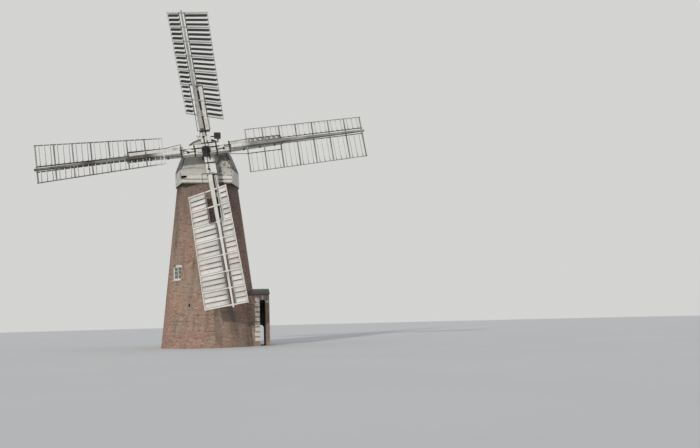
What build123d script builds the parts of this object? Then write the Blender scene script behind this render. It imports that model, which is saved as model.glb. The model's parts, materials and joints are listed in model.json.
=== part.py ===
# Brick tower windmill with a boat-shaped cap, four double-shuttered sails and a fantail.
# Millimetres, +Z up. The origin is on the ground at the tower's axis, and the sails face -Y.
import os
from math import cos, radians, sin, sqrt, tan

from build123d import *

# Tower
tower_height = 9600
base_radius = 2920
curb_radius = 1760
base_wall = 460
top_wall = 330
segment_count = 8
segment_start = 16.5  # degrees from +X, so that each opening is in the middle of a segment

# Floors
slab_thick = 150
floor_level = 3000
floor_thick = 120

# Openings of the tower, as azimuths in degrees from +X
window_azimuths = {"front": 219, "rear": 39}
window_width = 840
window_height = 970
sill_height = 870  # above the floor
window_rise = 90
window_set_back = 110
sill_thick = 70
sill_proud = 45
casement_frame = 60
casement_depth = 70
pane_thick = 8
door_azimuth = 129
door_width = 860
door_height = 1950
door_rise = 110
door_frame_width = 80
door_frame_depth = 110
door_set_back = 140
door_thick = 50
vent_azimuth = 244.5
vent_width = 120
vent_height = 190
vent_sill = 2350
cut_start = 1000  # distance from the tower's axis at which a cut through the wall begins

# Hood over the scoop wheel, beside the tower on +X
hood_outer = 3420
hood_half_length = 1550
hood_wall = 220
hood_height = 2950
hood_rise = 380
hood_cover_thick = 45
slot_width = 340
slot_top = 2700
rear_slot_top = 1200  # the water leaves under a lower arch

# Curb and the ring that turns on it
curb_inner = 1470
curb_outer = 1680
curb_thick = 150
running_gap = 8
ring_thick = 130

# Cap frame
sheer_width = 230
sheer_depth = 260
sheer_spacing = 1400
sheer_front = -1560
sheer_tail = 3950
weather_beam_y = -1150
weather_beam_half = 1180
weather_beam_width = 300
weather_beam_height = 430
tail_beam_y = 1250
tail_beam_width = 200
bearing_half = 280
bearing_length = 240
bearing_gap = 6

# Cap boarding
petticoat_half = 1838
petticoat_front = 300  # how far ahead of the axis its straight sides begin to close in
petticoat_lap = 130  # how far it hangs below the wall's top
board_thick = 28
eave_rise = 700  # above the wall's top, as are the three crests of the roof
roof_thick = 45
gable_foot_y = -1860
gable_rake = 14
gable_half = 1430
gable_verge = 50  # how far the roof stands out over the gable
gable_rails = ((60, 120, 1410), (260, 190, 1120))  # height above the foot, width, reach on the left
gable_rail_thick = 32
break_width = 300  # the broken board at the gable's lower left corner
break_height = 230
roof_middle_y = 100
rear_y = 2200
front_half = 1480
middle_half = 1862
rear_half = 950
front_crest = 2570
middle_crest = 2840
rear_crest = 2560
front_shoulder = (0.61, 0.80)  # share of the half width and of the height
middle_shoulder = (0.58, 0.74)
rear_shoulder = (0.60, 0.80)
eave_lean = 0.42  # how far the roof's curve leans in at the eaves, for each unit that it rises
crown_fall = 0.12  # how far it falls away from the ridge, for each unit outwards
ridge_width = 110
ridge_thick = 30
shaft_hole_radius = 240

# Sails
hub_ahead = 2100
hub_rise = 1550  # above the wall's top
shaft_tilt = 14
turn_angle = 8.2  # anticlockwise, seen from the front
stock_size = 300
stock_tip_size = 190
stock_reach = 4420
stock_straight = 620
stock_gap = 20
clamp_width = 200
clamp_tip_width = 170
clamp_depth = 220
clamp_tip_depth = 160
clamp_clear = 12  # between the canister's cheek and the clamp that passes it
chock_length = 260
chock_depth = 130
chock_places = (930, 2600, 4150)
whip_root = 1450
whip_back = 140  # from the stock's front face to the middle of the sail bars
whip_reach = 9300
whip_width = 200
whip_depth = 240
whip_tip_width = 95
whip_tip_depth = 110
heel_radius = 2350
tip_radius = 9150
bay_count = 7
shutters_per_bay = 3
lead_width = 840
trail_width = 1550
heel_weather = 28
tip_weather = 7
bar_width = 70
bar_thick = 55
rail_width = 38
rail_thick = 45
rail_overhang = 60
uplong_set = 165
lead_inner_set = 310  # the same beside the stock and its clamp
trail_inner_set = 500
inner_bays = 2
shutter_open = (98, 90, 18, 90)  # degrees from shut, for the upper, left, lower and right sails
shutter_chord = 285
shutter_thick = 18
shutter_end_gap = 20  # from a rail to the canvas, the crank and the pin's end
crank_gap = 8
pin_gap = 4
pin_size = 20

# Shaft, canister and striking gear
canister_size = 410
canister_length = 900
canister_chamfer = 45
neck_radius = 135
neck_length = 1200
taper_length = 500
tail_radius = 105
collar_radius = 175
collar_length = 60
shaft_length = 3600
shaft_clear = 200  # how far the cuts for the shaft run on behind it
nose_radius = 185
nose_length = 110
striking_rod_radius = 30
striking_reach = 790
spider_radius = 560
spider_hub_radius = 75
spider_bar = 45
spider_back = 100  # from the rod's end to the back of the cross
yoke_place = 1340
shutter_bar_width = 30
shutter_bar_thick = 14
shutter_bar_clear = 4  # between the sail bars and the rods that slide over them
crank_length = 85
crank_thick = 8
crank_width = 26
crank_pin_gap = 2  # between a crank's pin and the rod's side
lever_size = 30
lever_pivot = 1010
lever_lift = 60  # from the stock's front face to the levers' pivot
lever_block_width = 130
lever_block_length = 90

# Fantail
stage_start = 2350
stage_half = 1420
stage_thick = 60
bearer_size = 120
fan_y = 3300
fan_rise = 3730  # underside of the fan's bearings above the wall's top
fan_x = 20
fan_case_width = 430
fan_case_height = 360
fan_case_length = 260
fan_case_corner = 50
fan_cap_radius = 65
fan_cap_length = 35
fan_radius = 1150
fan_blade_count = 8
fan_blade_root = 380
fan_blade_width = 330
fan_blade_thick = 22
fan_arm_size = 45
fan_arm_seat = 10  # how deep an arm's end sits in the hub
fan_pitch = 45
fan_shaft_radius = 35
fan_hub_radius = 110
fan_hub_length = 240
frame_spread = 600
foot_spread = 1150
leg_size = 110
leg_foot_gap = 590
brace_height = 1500  # above the stage
brace_size = 80

os.makedirs("parts", exist_ok=True)
window_sill = floor_level + sill_height
petticoat_bottom = tower_height - petticoat_lap
eave_height = tower_height + eave_rise
hub_height = tower_height + hub_rise
fan_height = tower_height + fan_rise
fan_axis_height = fan_height + leg_size / 2


def save(piece, name):
    """Label a finished piece and write its STEP file."""
    piece.label = name
    export_step(piece, f"parts/{name}.step")


def outer_radius(height):
    """Outside radius of the battered wall at a height."""
    return base_radius + (curb_radius - base_radius) * height / tower_height


def inner_radius(height):
    """Inside radius of the wall, which thins towards the top."""
    return outer_radius(height) - base_wall - (top_wall - base_wall) * height / tower_height


def facing(azimuth, distance=0.0, height=0.0):
    """Vertical plane across a radius: x along the wall, y up, normal outwards."""
    out = Vector(cos(radians(azimuth)), sin(radians(azimuth)), 0)
    return Plane(origin=out * distance + Vector(0, 0, height), x_dir=(-out.Y, out.X, 0), z_dir=out)


def radial(azimuth):
    """Vertical plane that holds the tower's axis: x outwards, y up."""
    out = Vector(cos(radians(azimuth)), sin(radians(azimuth)), 0)
    return Plane(origin=(0, 0, 0), x_dir=out, z_dir=(out.Y, -out.X, 0))


def arched(width, height, rise):
    """Outline of an opening with a segmental head, its foot centred on the sketch's origin."""
    with BuildSketch() as outline:
        with BuildLine():
            spring = height - rise
            Polyline((-width / 2, spring), (-width / 2, 0), (width / 2, 0), (width / 2, spring))
            ThreePointArc((width / 2, spring), (0, height), (-width / 2, spring))
        make_face()
    return outline.sketch


# Tower of brick
def make_tower():
    span = 360 / segment_count
    for number in range(segment_count):
        start = segment_start + number * span
        middle = (start + span / 2) % 360
        with BuildPart() as segment:
            with BuildSketch(radial(start)):
                with BuildLine():
                    Polyline(
                        (inner_radius(0), 0),
                        (base_radius, 0),
                        (curb_radius, tower_height),
                        (inner_radius(tower_height), tower_height),
                        close=True,
                    )
                make_face()
            revolve(axis=Axis.Z, revolution_arc=span)
            if middle in window_azimuths.values():
                with BuildSketch(facing(middle, cut_start, window_sill)):
                    add(arched(window_width, window_height, window_rise))
                extrude(amount=base_radius, mode=Mode.SUBTRACT)
            if middle == door_azimuth:
                with BuildSketch(facing(middle, cut_start, slab_thick)):
                    add(arched(door_width, door_height, door_rise))
                extrude(amount=base_radius, mode=Mode.SUBTRACT)
            if start < vent_azimuth < start + span:
                with BuildSketch(facing(vent_azimuth, cut_start, vent_sill + vent_height / 2)):
                    Rectangle(vent_width, vent_height)
                extrude(amount=base_radius, mode=Mode.SUBTRACT)
        save(segment.part, f"tower_wall_{number + 1}")


def make_floor(name, bottom, thick):
    """A round floor whose edge follows the inside of the wall."""
    with BuildPart() as floor:
        with BuildSketch(radial(0)):
            with BuildLine():
                Polyline(
                    (0, bottom),
                    (inner_radius(bottom), bottom),
                    (inner_radius(bottom + thick), bottom + thick),
                    (0, bottom + thick),
                    close=True,
                )
            make_face()
        revolve(axis=Axis.Z)
    save(floor.part, name)


def make_windows():
    """Timber casements on sloping sills in the wall, and a pane in each."""
    pane_width = window_width - 2 * casement_frame
    pane_height = window_height - sill_thick - 2 * casement_frame - window_rise
    face = outer_radius(window_sill + window_height / 2) - window_set_back
    front = outer_radius(window_sill) + sill_proud
    back = face - casement_depth
    with BuildPart() as sills:
        for azimuth in window_azimuths.values():
            with BuildSketch(radial(azimuth)):
                with BuildLine():
                    Polyline(
                        (back, window_sill), (front, window_sill), (front, window_sill + sill_thick / 2),
                        (face, window_sill + sill_thick), (back, window_sill + sill_thick), close=True,
                    )
                make_face()
            extrude(amount=window_width / 2, both=True)
    save(sills.part, "window_sills")
    with BuildPart() as casements:
        for azimuth in window_azimuths.values():
            with BuildSketch(facing(azimuth, face, window_sill + sill_thick)):
                add(arched(window_width, window_height - sill_thick, window_rise))
                with Locations((0, casement_frame + pane_height / 2)):
                    Rectangle(pane_width, pane_height, mode=Mode.SUBTRACT)
            extrude(amount=-casement_depth)
    save(casements.part, "window_frames")
    with BuildPart() as panes:
        for azimuth in window_azimuths.values():
            middle = window_sill + sill_thick + casement_frame + pane_height / 2
            with BuildSketch(facing(azimuth, face - casement_depth / 2, middle)):
                Rectangle(pane_width, pane_height)
            extrude(amount=pane_thick / 2, both=True)
    save(panes.part, "window_panes")


def make_door():
    """Door frame and its boarded leaf, shut."""
    face = outer_radius(slab_thick + door_height) - door_set_back
    leaf_width = door_width - 2 * door_frame_width
    leaf_height = door_height - door_frame_width
    with BuildPart() as frame:
        with BuildSketch(facing(door_azimuth, face, slab_thick)):
            add(arched(door_width, door_height, door_rise))
            add(arched(leaf_width, leaf_height, door_rise), mode=Mode.SUBTRACT)
        extrude(amount=-door_frame_depth)
    save(frame.part, "door_frame")
    with BuildPart() as leaf:
        with BuildSketch(facing(door_azimuth, face, slab_thick)):
            add(arched(leaf_width, leaf_height, door_rise))
        extrude(amount=-door_thick)
    save(leaf.part, "door_leaf")


def tower_body():
    """The solid cone inside the wall's outer face, for cutting what stands against it."""
    with BuildPart() as cone:
        with BuildSketch(radial(0)):
            with BuildLine():
                Polyline((0, 0), (base_radius, 0), (curb_radius, tower_height), (0, tower_height), close=True)
            make_face()
        revolve(axis=Axis.Z)
    return cone.part


def hood_outline(lift=0.0):
    """Side outline of the hood, with its curved top."""
    with BuildSketch() as outline:
        with BuildLine():
            half = hood_half_length
            Polyline((-half, hood_height + lift), (-half, 0), (half, 0), (half, hood_height + lift))
            ThreePointArc(
                (half, hood_height + lift), (0, hood_height + hood_rise + lift), (-half, hood_height + lift)
            )
        make_face()
    return outline.sketch


def make_wheel_hood():
    """Brick side wall and two end walls with arched slots, under a curved boarded cover."""
    cone = tower_body()
    slot_x = hood_outer - hood_wall - slot_width / 2
    wall_end = hood_outer - hood_wall
    with BuildPart() as walls:
        with BuildSketch(Plane.YZ.offset(wall_end)):
            add(hood_outline())
        extrude(amount=hood_wall)
        for end_y, top in ((-hood_half_length, slot_top), (hood_half_length - hood_wall, rear_slot_top)):
            with BuildSketch(Plane.XZ.offset(-end_y)):
                with Locations((wall_end / 2, hood_height / 2)):
                    Rectangle(wall_end, hood_height)
                with Locations((slot_x, 0)):
                    add(arched(slot_width, top, slot_width / 2), mode=Mode.SUBTRACT)
            extrude(amount=-hood_wall)
        add(cone, mode=Mode.SUBTRACT)
    save(walls.part, "hood_walls")
    with BuildPart() as cover:
        with BuildSketch(Plane.YZ):
            add(hood_outline(hood_cover_thick))
            add(hood_outline(), mode=Mode.SUBTRACT)
            with Locations((0, hood_height / 2)):
                Rectangle(2 * hood_half_length, hood_height, mode=Mode.SUBTRACT)
        extrude(amount=hood_outer)
        add(cone, mode=Mode.SUBTRACT)
    save(cover.part, "hood_cover")


# Cap
curb_top = tower_height + curb_thick
ring_bottom = curb_top + running_gap
sheer_bottom = ring_bottom + ring_thick
sheer_top = sheer_bottom + sheer_depth


def make_ring(name, bottom, thick):
    with BuildPart() as ring:
        with BuildSketch(Plane.XY.offset(bottom)):
            Circle(curb_outer)
            Circle(curb_inner, mode=Mode.SUBTRACT)
        extrude(amount=thick)
    save(ring.part, name)


def shaft_place():
    """Plane of the windshaft: x to the right, y up in the sails' plane, normal to the front."""
    tilt = radians(shaft_tilt)
    return Plane(
        origin=(0, -hub_ahead, hub_height), x_dir=(1, 0, 0), z_dir=(0, -cos(tilt), sin(tilt))
    )


def shaft_height(y):
    """Height of the windshaft's axis above the ground at a place along the cap."""
    return hub_height - (y + hub_ahead) * tan(radians(shaft_tilt))


def shaft_cut(radius):
    """Round bar along the windshaft's axis, for cutting bearings and the hole in the gable."""
    with BuildPart() as bar:
        with BuildSketch(shaft_place().offset(-shaft_length - shaft_clear)):
            Circle(radius)
        extrude(amount=shaft_length + shaft_clear)
    return bar.part


def make_cap_frame():
    with BuildPart() as sheers:
        middle = (sheer_front + sheer_tail) / 2
        with BuildSketch(Plane.XY.offset(sheer_bottom)):
            with Locations((-sheer_spacing / 2, middle), (sheer_spacing / 2, middle)):
                Rectangle(sheer_width, sheer_tail - sheer_front)
        extrude(amount=sheer_depth)
    save(sheers.part, "sheers")
    with BuildPart() as weather_beam:
        with BuildSketch(Plane.XY.offset(sheer_top)):
            with Locations((0, weather_beam_y)):
                Rectangle(2 * weather_beam_half, weather_beam_width)
        extrude(amount=weather_beam_height)
        with BuildSketch(Plane.XY.offset(sheer_top + weather_beam_height)):
            with Locations((0, weather_beam_y)):
                Rectangle(2 * bearing_half, bearing_length)
        extrude(amount=shaft_height(weather_beam_y) - sheer_top - weather_beam_height)
        add(shaft_cut(neck_radius + bearing_gap), mode=Mode.SUBTRACT)
    save(weather_beam.part, "weather_beam")
    with BuildPart() as tail_beam:
        with BuildSketch(Plane.XY.offset(sheer_bottom)):
            with Locations((0, tail_beam_y)):
                Rectangle(sheer_spacing - sheer_width, tail_beam_width)
        extrude(amount=sheer_depth)
        add(shaft_cut(tail_radius + bearing_gap), mode=Mode.SUBTRACT)
    save(tail_beam.part, "tail_beam")


def gable_place():
    """Raked plane of the front gable's outer face, its origin at the gable's foot."""
    rake = radians(gable_rake)
    return Plane(
        origin=(0, gable_foot_y, petticoat_bottom), x_dir=(1, 0, 0), z_dir=(0, -cos(rake), sin(rake))
    )


def up_gable(height):
    """Distance up the raked gable from its foot to a height above the ground."""
    return (height - petticoat_bottom) / cos(radians(gable_rake))


def upright(y):
    """Vertical plane across the cap: x to the right, y the height above the ground."""
    return Plane.XZ.offset(-y)


def half_arch(place, foot, half, top, shoulder, thick, side):
    """Section across one half of the roof, between its outer and inner curves."""
    rise = top - foot
    shoulder_at = (side * half * shoulder[0], foot + rise * shoulder[1])
    inner_half = half - thick
    inner_top = top - thick
    square_in = thick / sqrt(2)  # the shoulder's curve runs at about 45 degrees
    inner_shoulder = (shoulder_at[0] - side * square_in, shoulder_at[1] - square_in)
    with BuildSketch(place) as section:
        with BuildLine():
            Spline((side * half, foot), shoulder_at, (0, top),
                   tangents=((-side * eave_lean, 1), (-side, crown_fall)))
            Line((0, top), (0, inner_top))
            Spline((0, inner_top), inner_shoulder, (side * inner_half, foot),
                   tangents=((side, -crown_fall), (side * eave_lean, -1)))
            Line((side * inner_half, foot), (side * half, foot))
        make_face()
    return section.sketch


stations = (
    (gable_place().offset(gable_verge), up_gable(eave_height), front_half,
     up_gable(tower_height + front_crest), front_shoulder),
    (upright(roof_middle_y), eave_height, middle_half, tower_height + middle_crest, middle_shoulder),
    (upright(rear_y), eave_height, rear_half, tower_height + rear_crest, rear_shoulder),
)


def make_roof():
    halves = []
    for name, side in (("left", -1), ("right", 1)):
        sections = [half_arch(*station, roof_thick, side) for station in stations]
        with BuildPart() as roof:
            loft(sections)
        halves.append(roof.part)
        save(roof.part, f"roof_{name}")
    with BuildPart() as ridge:
        for place, _, _, top, _ in stations:
            with BuildSketch(place):
                with Locations((0, top)):
                    Rectangle(ridge_width, 2 * ridge_thick)
        loft()
        for half in halves:
            add(half, mode=Mode.SUBTRACT)
    save(ridge.part, "ridge_board")
    return halves


def gable_face(half, foot, top, shoulder, bottom_half, bottom):
    """Outline of a gable: straight below the eaves, curved above."""
    rise = top - foot
    with BuildSketch() as outline:
        with BuildLine():
            Polyline((-half, foot), (-bottom_half, bottom), (bottom_half, bottom), (half, foot))
            Spline((half, foot), (half * shoulder[0], foot + rise * shoulder[1]), (0, top),
                   tangents=((-eave_lean, 1), (-1, crown_fall)))
            Spline((0, top), (-half * shoulder[0], foot + rise * shoulder[1]), (-half, foot),
                   tangents=((-1, -crown_fall), (-eave_lean, -1)))
        make_face()
    return outline.sketch


def make_gables(halves):
    with BuildPart() as front:
        _, foot, half, top, shoulder = stations[0]
        with BuildSketch(gable_place().offset(-board_thick)):
            add(gable_face(half, foot, top, shoulder, gable_half, 0))
            with BuildLine():
                left, foot_line = -gable_half, gable_rails[1][0]
                right, top_line = left + break_width, foot_line + break_height
                Polyline((left, foot_line), (right, foot_line + break_height / 2), (right, top_line),
                         (left, top_line), close=True)
            make_face(mode=Mode.SUBTRACT)
        extrude(amount=board_thick)
        add(shaft_cut(shaft_hole_radius), mode=Mode.SUBTRACT)
        for half_roof in halves:
            add(half_roof, mode=Mode.SUBTRACT)
    save(front.part, "front_gable")
    with BuildPart() as rails:
        with BuildSketch(gable_place()):
            for height, width, reach in gable_rails:
                with Locations(((gable_half - reach) / 2, height + width / 2)):
                    Rectangle(gable_half + reach, width)
        extrude(amount=gable_rail_thick)
    save(rails.part, "gable_rails")
    with BuildPart() as rear:
        place, foot, half, top, shoulder = stations[-1]
        with BuildSketch(place):
            add(gable_face(half, foot, top, shoulder, half, sheer_top))
        extrude(amount=-board_thick)
    save(rear.part, "rear_gable")


def make_petticoat(halves):
    """Boards round the cap's foot, between the gable's edges and round the back, up to the roof."""
    with BuildPart() as skirt:
        with BuildSketch(Plane.XY.offset(petticoat_bottom)):
            with BuildLine():
                Polyline(
                    (-petticoat_half, 0), (-petticoat_half, -petticoat_front), (-gable_half, gable_foot_y),
                    (gable_half, gable_foot_y), (petticoat_half, -petticoat_front), (petticoat_half, 0),
                )
                ThreePointArc((petticoat_half, 0), (0, petticoat_half), (-petticoat_half, 0))
            make_face()
            offset(amount=-board_thick, kind=Kind.INTERSECTION, mode=Mode.SUBTRACT)
        extrude(amount=eave_height - petticoat_bottom)
        with BuildSketch(gable_place().offset(-board_thick)):
            Rectangle(4 * petticoat_half, 4 * petticoat_half)
        extrude(amount=petticoat_half, mode=Mode.SUBTRACT)
        with BuildSketch(Plane.XZ):
            middle = sheer_bottom + sheer_depth / 2
            with Locations((-sheer_spacing / 2, middle), (sheer_spacing / 2, middle)):
                Rectangle(sheer_width, sheer_depth)
        extrude(amount=-sheer_tail, mode=Mode.SUBTRACT)
        for half_roof in halves:
            add(half_roof, mode=Mode.SUBTRACT)
    save(skirt.part, "petticoat")


# Sails, drawn upright: x to the right, y out from the hub, z to the front
def sail_level(pair):
    """Distance of a pair's sail plane in front of the hub: the level pair is the outer one."""
    return (1 if pair else -1) * (stock_size + stock_gap) / 2 + stock_size / 2 + whip_back


def weather(share):
    """Direction across the sail towards its leading edge, at a share of the way to the tip."""
    heel = radians(heel_weather)
    tip = radians(tip_weather)
    across = cos(heel) + (cos(tip) - cos(heel)) * share
    return Vector(-across, 0, sin(heel) + (sin(tip) - sin(heel)) * share)


def sail_point(share, set_off):
    """A point of the sail's surface: set_off is the distance from its whip, leading side positive."""
    return Vector(0, heel_radius + (tip_radius - heel_radius) * share, 0) + weather(share) * set_off


def timber_plane(start, end, flat):
    """Plane at a timber's start, square to it, with its x along the direction called flat."""
    along = (end - start).normalized()
    across = (flat - along * flat.dot(along)).normalized()
    return Plane(origin=start, x_dir=across, z_dir=along)


def bar_planes():
    """One plane and length for each sail bar, from the trailing rail to the leading one."""
    places = []
    for number in range(bay_count + 1):
        share = number / bay_count
        start = sail_point(share, -trail_width)
        end = sail_point(share, lead_width)
        places.append((timber_plane(start, end, Vector(0, 1, 0)), (end - start).length))
    return places


def make_frame():
    """Sail bars, the rail down each edge and the uplongs beside the whip."""
    with BuildPart() as frame:
        for place, length in bar_planes():
            with BuildSketch(place):
                Rectangle(bar_width, bar_thick)
            extrude(amount=length)
        for first, last, set_offs in (
            (-overhang, 1 + overhang, (-trail_width, lead_width)),
            (-overhang, inner_share, (-trail_inner_set, lead_inner_set)),
            (inner_share, 1 + overhang, (-uplong_set, uplong_set)),
        ):
            for set_off in set_offs:
                start = sail_point(first, set_off)
                end = sail_point(last, set_off)
                with BuildSketch(timber_plane(start, end, weather(0.5))):
                    Rectangle(rail_width, rail_thick)
                extrude(amount=(end - start).length)
    return frame.part


def make_whip():
    """Tapered whip, flat on the stock's face as far as that goes, with a mortise for each sail bar."""
    root_front = whip_depth - whip_back
    tip_front = whip_tip_depth / 2
    seat = (stock_reach - whip_root) / (whip_reach - whip_root)
    sections = (
        (whip_root, whip_width, root_front, -whip_back),
        (stock_reach, whip_width + (whip_tip_width - whip_width) * seat,
         root_front + (tip_front - root_front) * seat, -whip_back),
        (whip_reach, whip_tip_width, tip_front, -tip_front),
    )
    with BuildPart() as whip:
        for reach, wide, front, back in sections:
            with BuildSketch(Plane(origin=(0, reach, (front + back) / 2), x_dir=(1, 0, 0), z_dir=(0, 1, 0))):
                Rectangle(wide, front - back)
        loft(ruled=True)
        for place, length in bar_planes():
            with BuildSketch(place):
                Rectangle(bar_width, bar_thick)
            extrude(amount=length, mode=Mode.SUBTRACT)
    return whip.part


bar_lift = bar_thick / 2 + shutter_bar_clear + shutter_bar_thick / 2  # from the sail's surface to its rods
inner_share = inner_bays / bay_count
overhang = rail_overhang / (tip_radius - heel_radius)  # of the rails past the end bars, as a share


def shutter_shares():
    """The shutters' places, evenly between one sail bar and the next, as shares of the way to the tip."""
    length = tip_radius - heel_radius
    bay = length / bay_count
    pitch = (bay - bar_width) / shutters_per_bay
    return [
        (bay * number + bar_width / 2 + pitch * (row + 0.5)) / length
        for number in range(bay_count) for row in range(shutters_per_bay)
    ]


def make_shutters(side, inmost, outer, opened):
    """The row of shutters between an uplong and a rail, turned open on their pins, each with its crank."""
    slats = []
    for share in shutter_shares():
        inner = side * (inmost if share < inner_share else uplong_set)
        start = sail_point(share, inner)
        end = sail_point(share, outer)
        along = (end - start).normalized()
        radius_way = Vector(0, 1, 0) - along * along.Y
        front = radius_way.cross(along).normalized() * side
        chord = radius_way.normalized() * cos(radians(opened)) + front * sin(radians(opened))
        place = Plane(origin=start, x_dir=chord, z_dir=along)
        length = (end - start).length
        edge = rail_width / 2 + shutter_end_gap
        with BuildPart() as slat:
            with BuildSketch(place.offset(edge)):
                Rectangle(shutter_chord, shutter_thick)
            extrude(amount=length - 2 * edge)
            with BuildSketch(place.offset(rail_width / 2 + pin_gap)):
                Rectangle(pin_size, pin_size)
            extrude(amount=length - rail_width - 2 * pin_gap)
            crank_way = radius_way.normalized() * sqrt(crank_length**2 - bar_lift**2) + front * bar_lift
            crank_set = rail_width / 2 + crank_gap
            crank_face = start + along * crank_set
            with BuildSketch(Plane(origin=crank_face, x_dir=crank_way, z_dir=along)):
                with Locations((crank_length / 2, 0)):
                    Rectangle(crank_length + crank_width, crank_width)
            extrude(amount=crank_thick)
            with BuildSketch(Plane(origin=crank_face + crank_way, x_dir=crank_way, z_dir=along)):
                Rectangle(shutter_bar_thick, shutter_bar_thick)
            extrude(amount=shutter_bar_width / 2 + crank_pin_gap - crank_set)
        slats.append(slat.part)
    return slats


def front_of(share, set_off, lift):
    """A point in front of the sail's surface, out along the surface's own normal."""
    across = weather(share).normalized()
    return sail_point(share, set_off) + Vector(across.Z, 0, -across.X) * lift


def make_shutter_bar():
    """The two rods of a sail that work its shutters, the yoke that joins them and the rod to its lever."""
    lever_end = Vector(0, lever_pivot + lever_size / 2, bar_lift)
    yoke_ends = [front_of(0, set_off, bar_lift).X for set_off in (lead_inner_set, -trail_inner_set)]
    with BuildPart() as bar:
        for side, set_off, yoke_end in zip((1, -1), (lead_inner_set, -trail_inner_set), yoke_ends):
            route = (
                Vector(yoke_end, yoke_place, bar_lift), front_of(-2 * overhang, set_off, bar_lift),
                front_of(inner_share, set_off, bar_lift),
                front_of(inner_share, side * uplong_set, bar_lift), front_of(1, side * uplong_set, bar_lift),
            )
            for first, last in zip(route, route[1:]):
                flat = Vector(0, 1, 0) if first.Y == last.Y else weather(0.5)
                with BuildSketch(timber_plane(first, last, flat)):
                    Rectangle(shutter_bar_width, shutter_bar_thick)
                extrude(amount=(last - first).length)
        with BuildSketch(Plane.YZ.offset(yoke_ends[0])):
            with Locations((yoke_place, bar_lift)):
                Rectangle(lever_size, lever_size)
        extrude(amount=yoke_ends[1] - yoke_ends[0])
        with BuildSketch(Plane(origin=lever_end, x_dir=(1, 0, 0), z_dir=(0, 1, 0))):
            Rectangle(lever_size, lever_size)
        extrude(amount=yoke_place - lever_end.Y)
    return bar.part


def make_bell_crank(spider_height):
    """Lever on a block on the stock: one arm to the shutter bars' rod, the other to the cross's link."""
    pivot = lever_lift - whip_back
    with BuildPart() as crank:
        with BuildSketch(Plane.XY.offset(-whip_back)):
            with Locations((0, lever_pivot)):
                Rectangle(lever_block_width, lever_block_length)
        extrude(amount=lever_lift)
        with BuildSketch(Plane.YZ):
            with BuildLine():
                half = lever_size / 2
                Polyline(
                    (spider_radius, pivot - half), (lever_pivot + half, pivot - half),
                    (lever_pivot + half, bar_lift + half), (lever_pivot - half, bar_lift + half),
                    (lever_pivot - half, pivot + half + lever_size), (lever_pivot - 3 * half, pivot + half),
                    (spider_radius + lever_size, pivot + half), (spider_radius + lever_size, spider_height),
                    (spider_radius, spider_height), close=True,
                )
            make_face()
        extrude(amount=lever_size / 2, both=True)
    return crank.part


def make_sails():
    frame = make_frame()
    whip = make_whip()
    bar = make_shutter_bar()
    whips, frames, bars, cranks = [], [], [], []
    for number in range(4):
        pair = number % 2
        place = shaft_place().location * Location((0, 0, sail_level(pair)), (0, 0, turn_angle + 90 * number))
        opened = shutter_open[number]
        rows = make_shutters(1, lead_inner_set, lead_width, opened)
        rows += make_shutters(-1, trail_inner_set, -trail_width, opened)
        save(place * Compound(children=rows), f"shutters_{number + 1}")
        whips.append(place * whip)
        frames.append(place * frame)
        bars.append(place * bar)
        spider_front = striking_reach - spider_back + spider_bar
        cranks.append(place * make_bell_crank(spider_front - sail_level(pair)))
    for name, pieces in (
        ("whips", whips), ("sail_frames", frames), ("shutter_bars", bars), ("bell_cranks", cranks)
    ):
        save(Compound(children=pieces), name)


def stock_part(middle):
    """A timber tapered from the canister to its ends, with a flat front face."""
    with BuildPart() as stock:
        for reach, size in (
            (-stock_reach, stock_tip_size), (-stock_straight, stock_size),
            (stock_straight, stock_size), (stock_reach, stock_tip_size),
        ):
            back = middle + (stock_size - size) / 2
            with BuildSketch(Plane(origin=(0, reach, back), x_dir=(1, 0, 0), z_dir=(0, 1, 0))):
                Rectangle(size, size)
        loft(ruled=True)
    return stock.part


def make_stocks():
    """The two stocks, and beside each a clamp that passes the canister's cheek, held off it by chocks.

    The clamps are notched where the sail bars of the trailing side cross them.
    """
    clamps = []
    frame = make_frame()
    for name, pair, side in (("upright", 0, 1), ("level", 1, 1)):
        middle = (1 if pair else -1) * (stock_size + stock_gap) / 2
        front = middle + stock_size / 2
        stock = stock_part(middle)
        cheek = side * (canister_size / 2 + clamp_clear)
        with BuildPart() as clamp:
            for reach, wide, deep in (
                (-stock_reach, clamp_tip_width, clamp_tip_depth), (-stock_straight, clamp_width, clamp_depth),
                (stock_straight, clamp_width, clamp_depth), (stock_reach, clamp_tip_width, clamp_tip_depth),
            ):
                centre = (cheek + side * wide / 2, reach, front - deep / 2)
                with BuildSketch(Plane(origin=centre, x_dir=(1, 0, 0), z_dir=(0, 1, 0))):
                    Rectangle(wide, deep)
            loft(ruled=True)
            with BuildSketch(Plane.XY.offset(front - chock_depth)):
                for place in chock_places:
                    with Locations((cheek / 2, place), (cheek / 2, -place)):
                        Rectangle(abs(cheek), chock_length)
            extrude(amount=chock_depth - clamp_clear)
            add(stock, mode=Mode.SUBTRACT)
            for half_turn in (0, 180):
                add(Location((0, 0, sail_level(pair)), (0, 0, half_turn)) * frame, mode=Mode.SUBTRACT)
        place = shaft_place().location * Location((0, 0, 0), (0, 0, turn_angle + 90 * pair))
        save(place * stock, f"stock_{name}")
        clamps.append(place * clamp.part)
    save(Compound(children=clamps), "stock_clamps")


def make_canister():
    """Cast iron canister with a mortise for each stock."""
    with BuildPart() as canister:
        with BuildSketch(Plane.XY.offset(-canister_length / 2)):
            Rectangle(canister_size, canister_size)
        extrude(amount=canister_length)
        chamfer(canister.edges().filter_by(Axis.Z), canister_chamfer)
        with BuildSketch(Plane.XY.offset(canister_length / 2)):
            Circle(nose_radius)
        extrude(amount=nose_length)
        for pair in (0, 1):
            middle = (1 if pair else -1) * (stock_size + stock_gap) / 2
            across = Plane.YZ if pair else Plane.XZ
            with BuildSketch(across):
                with Locations((0, middle)):
                    Rectangle(stock_size, stock_size)
            extrude(amount=canister_size, both=True, mode=Mode.SUBTRACT)
    save(shaft_place().location * Location((0, 0, 0), (0, 0, turn_angle)) * canister.part, "poll_end")


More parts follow.
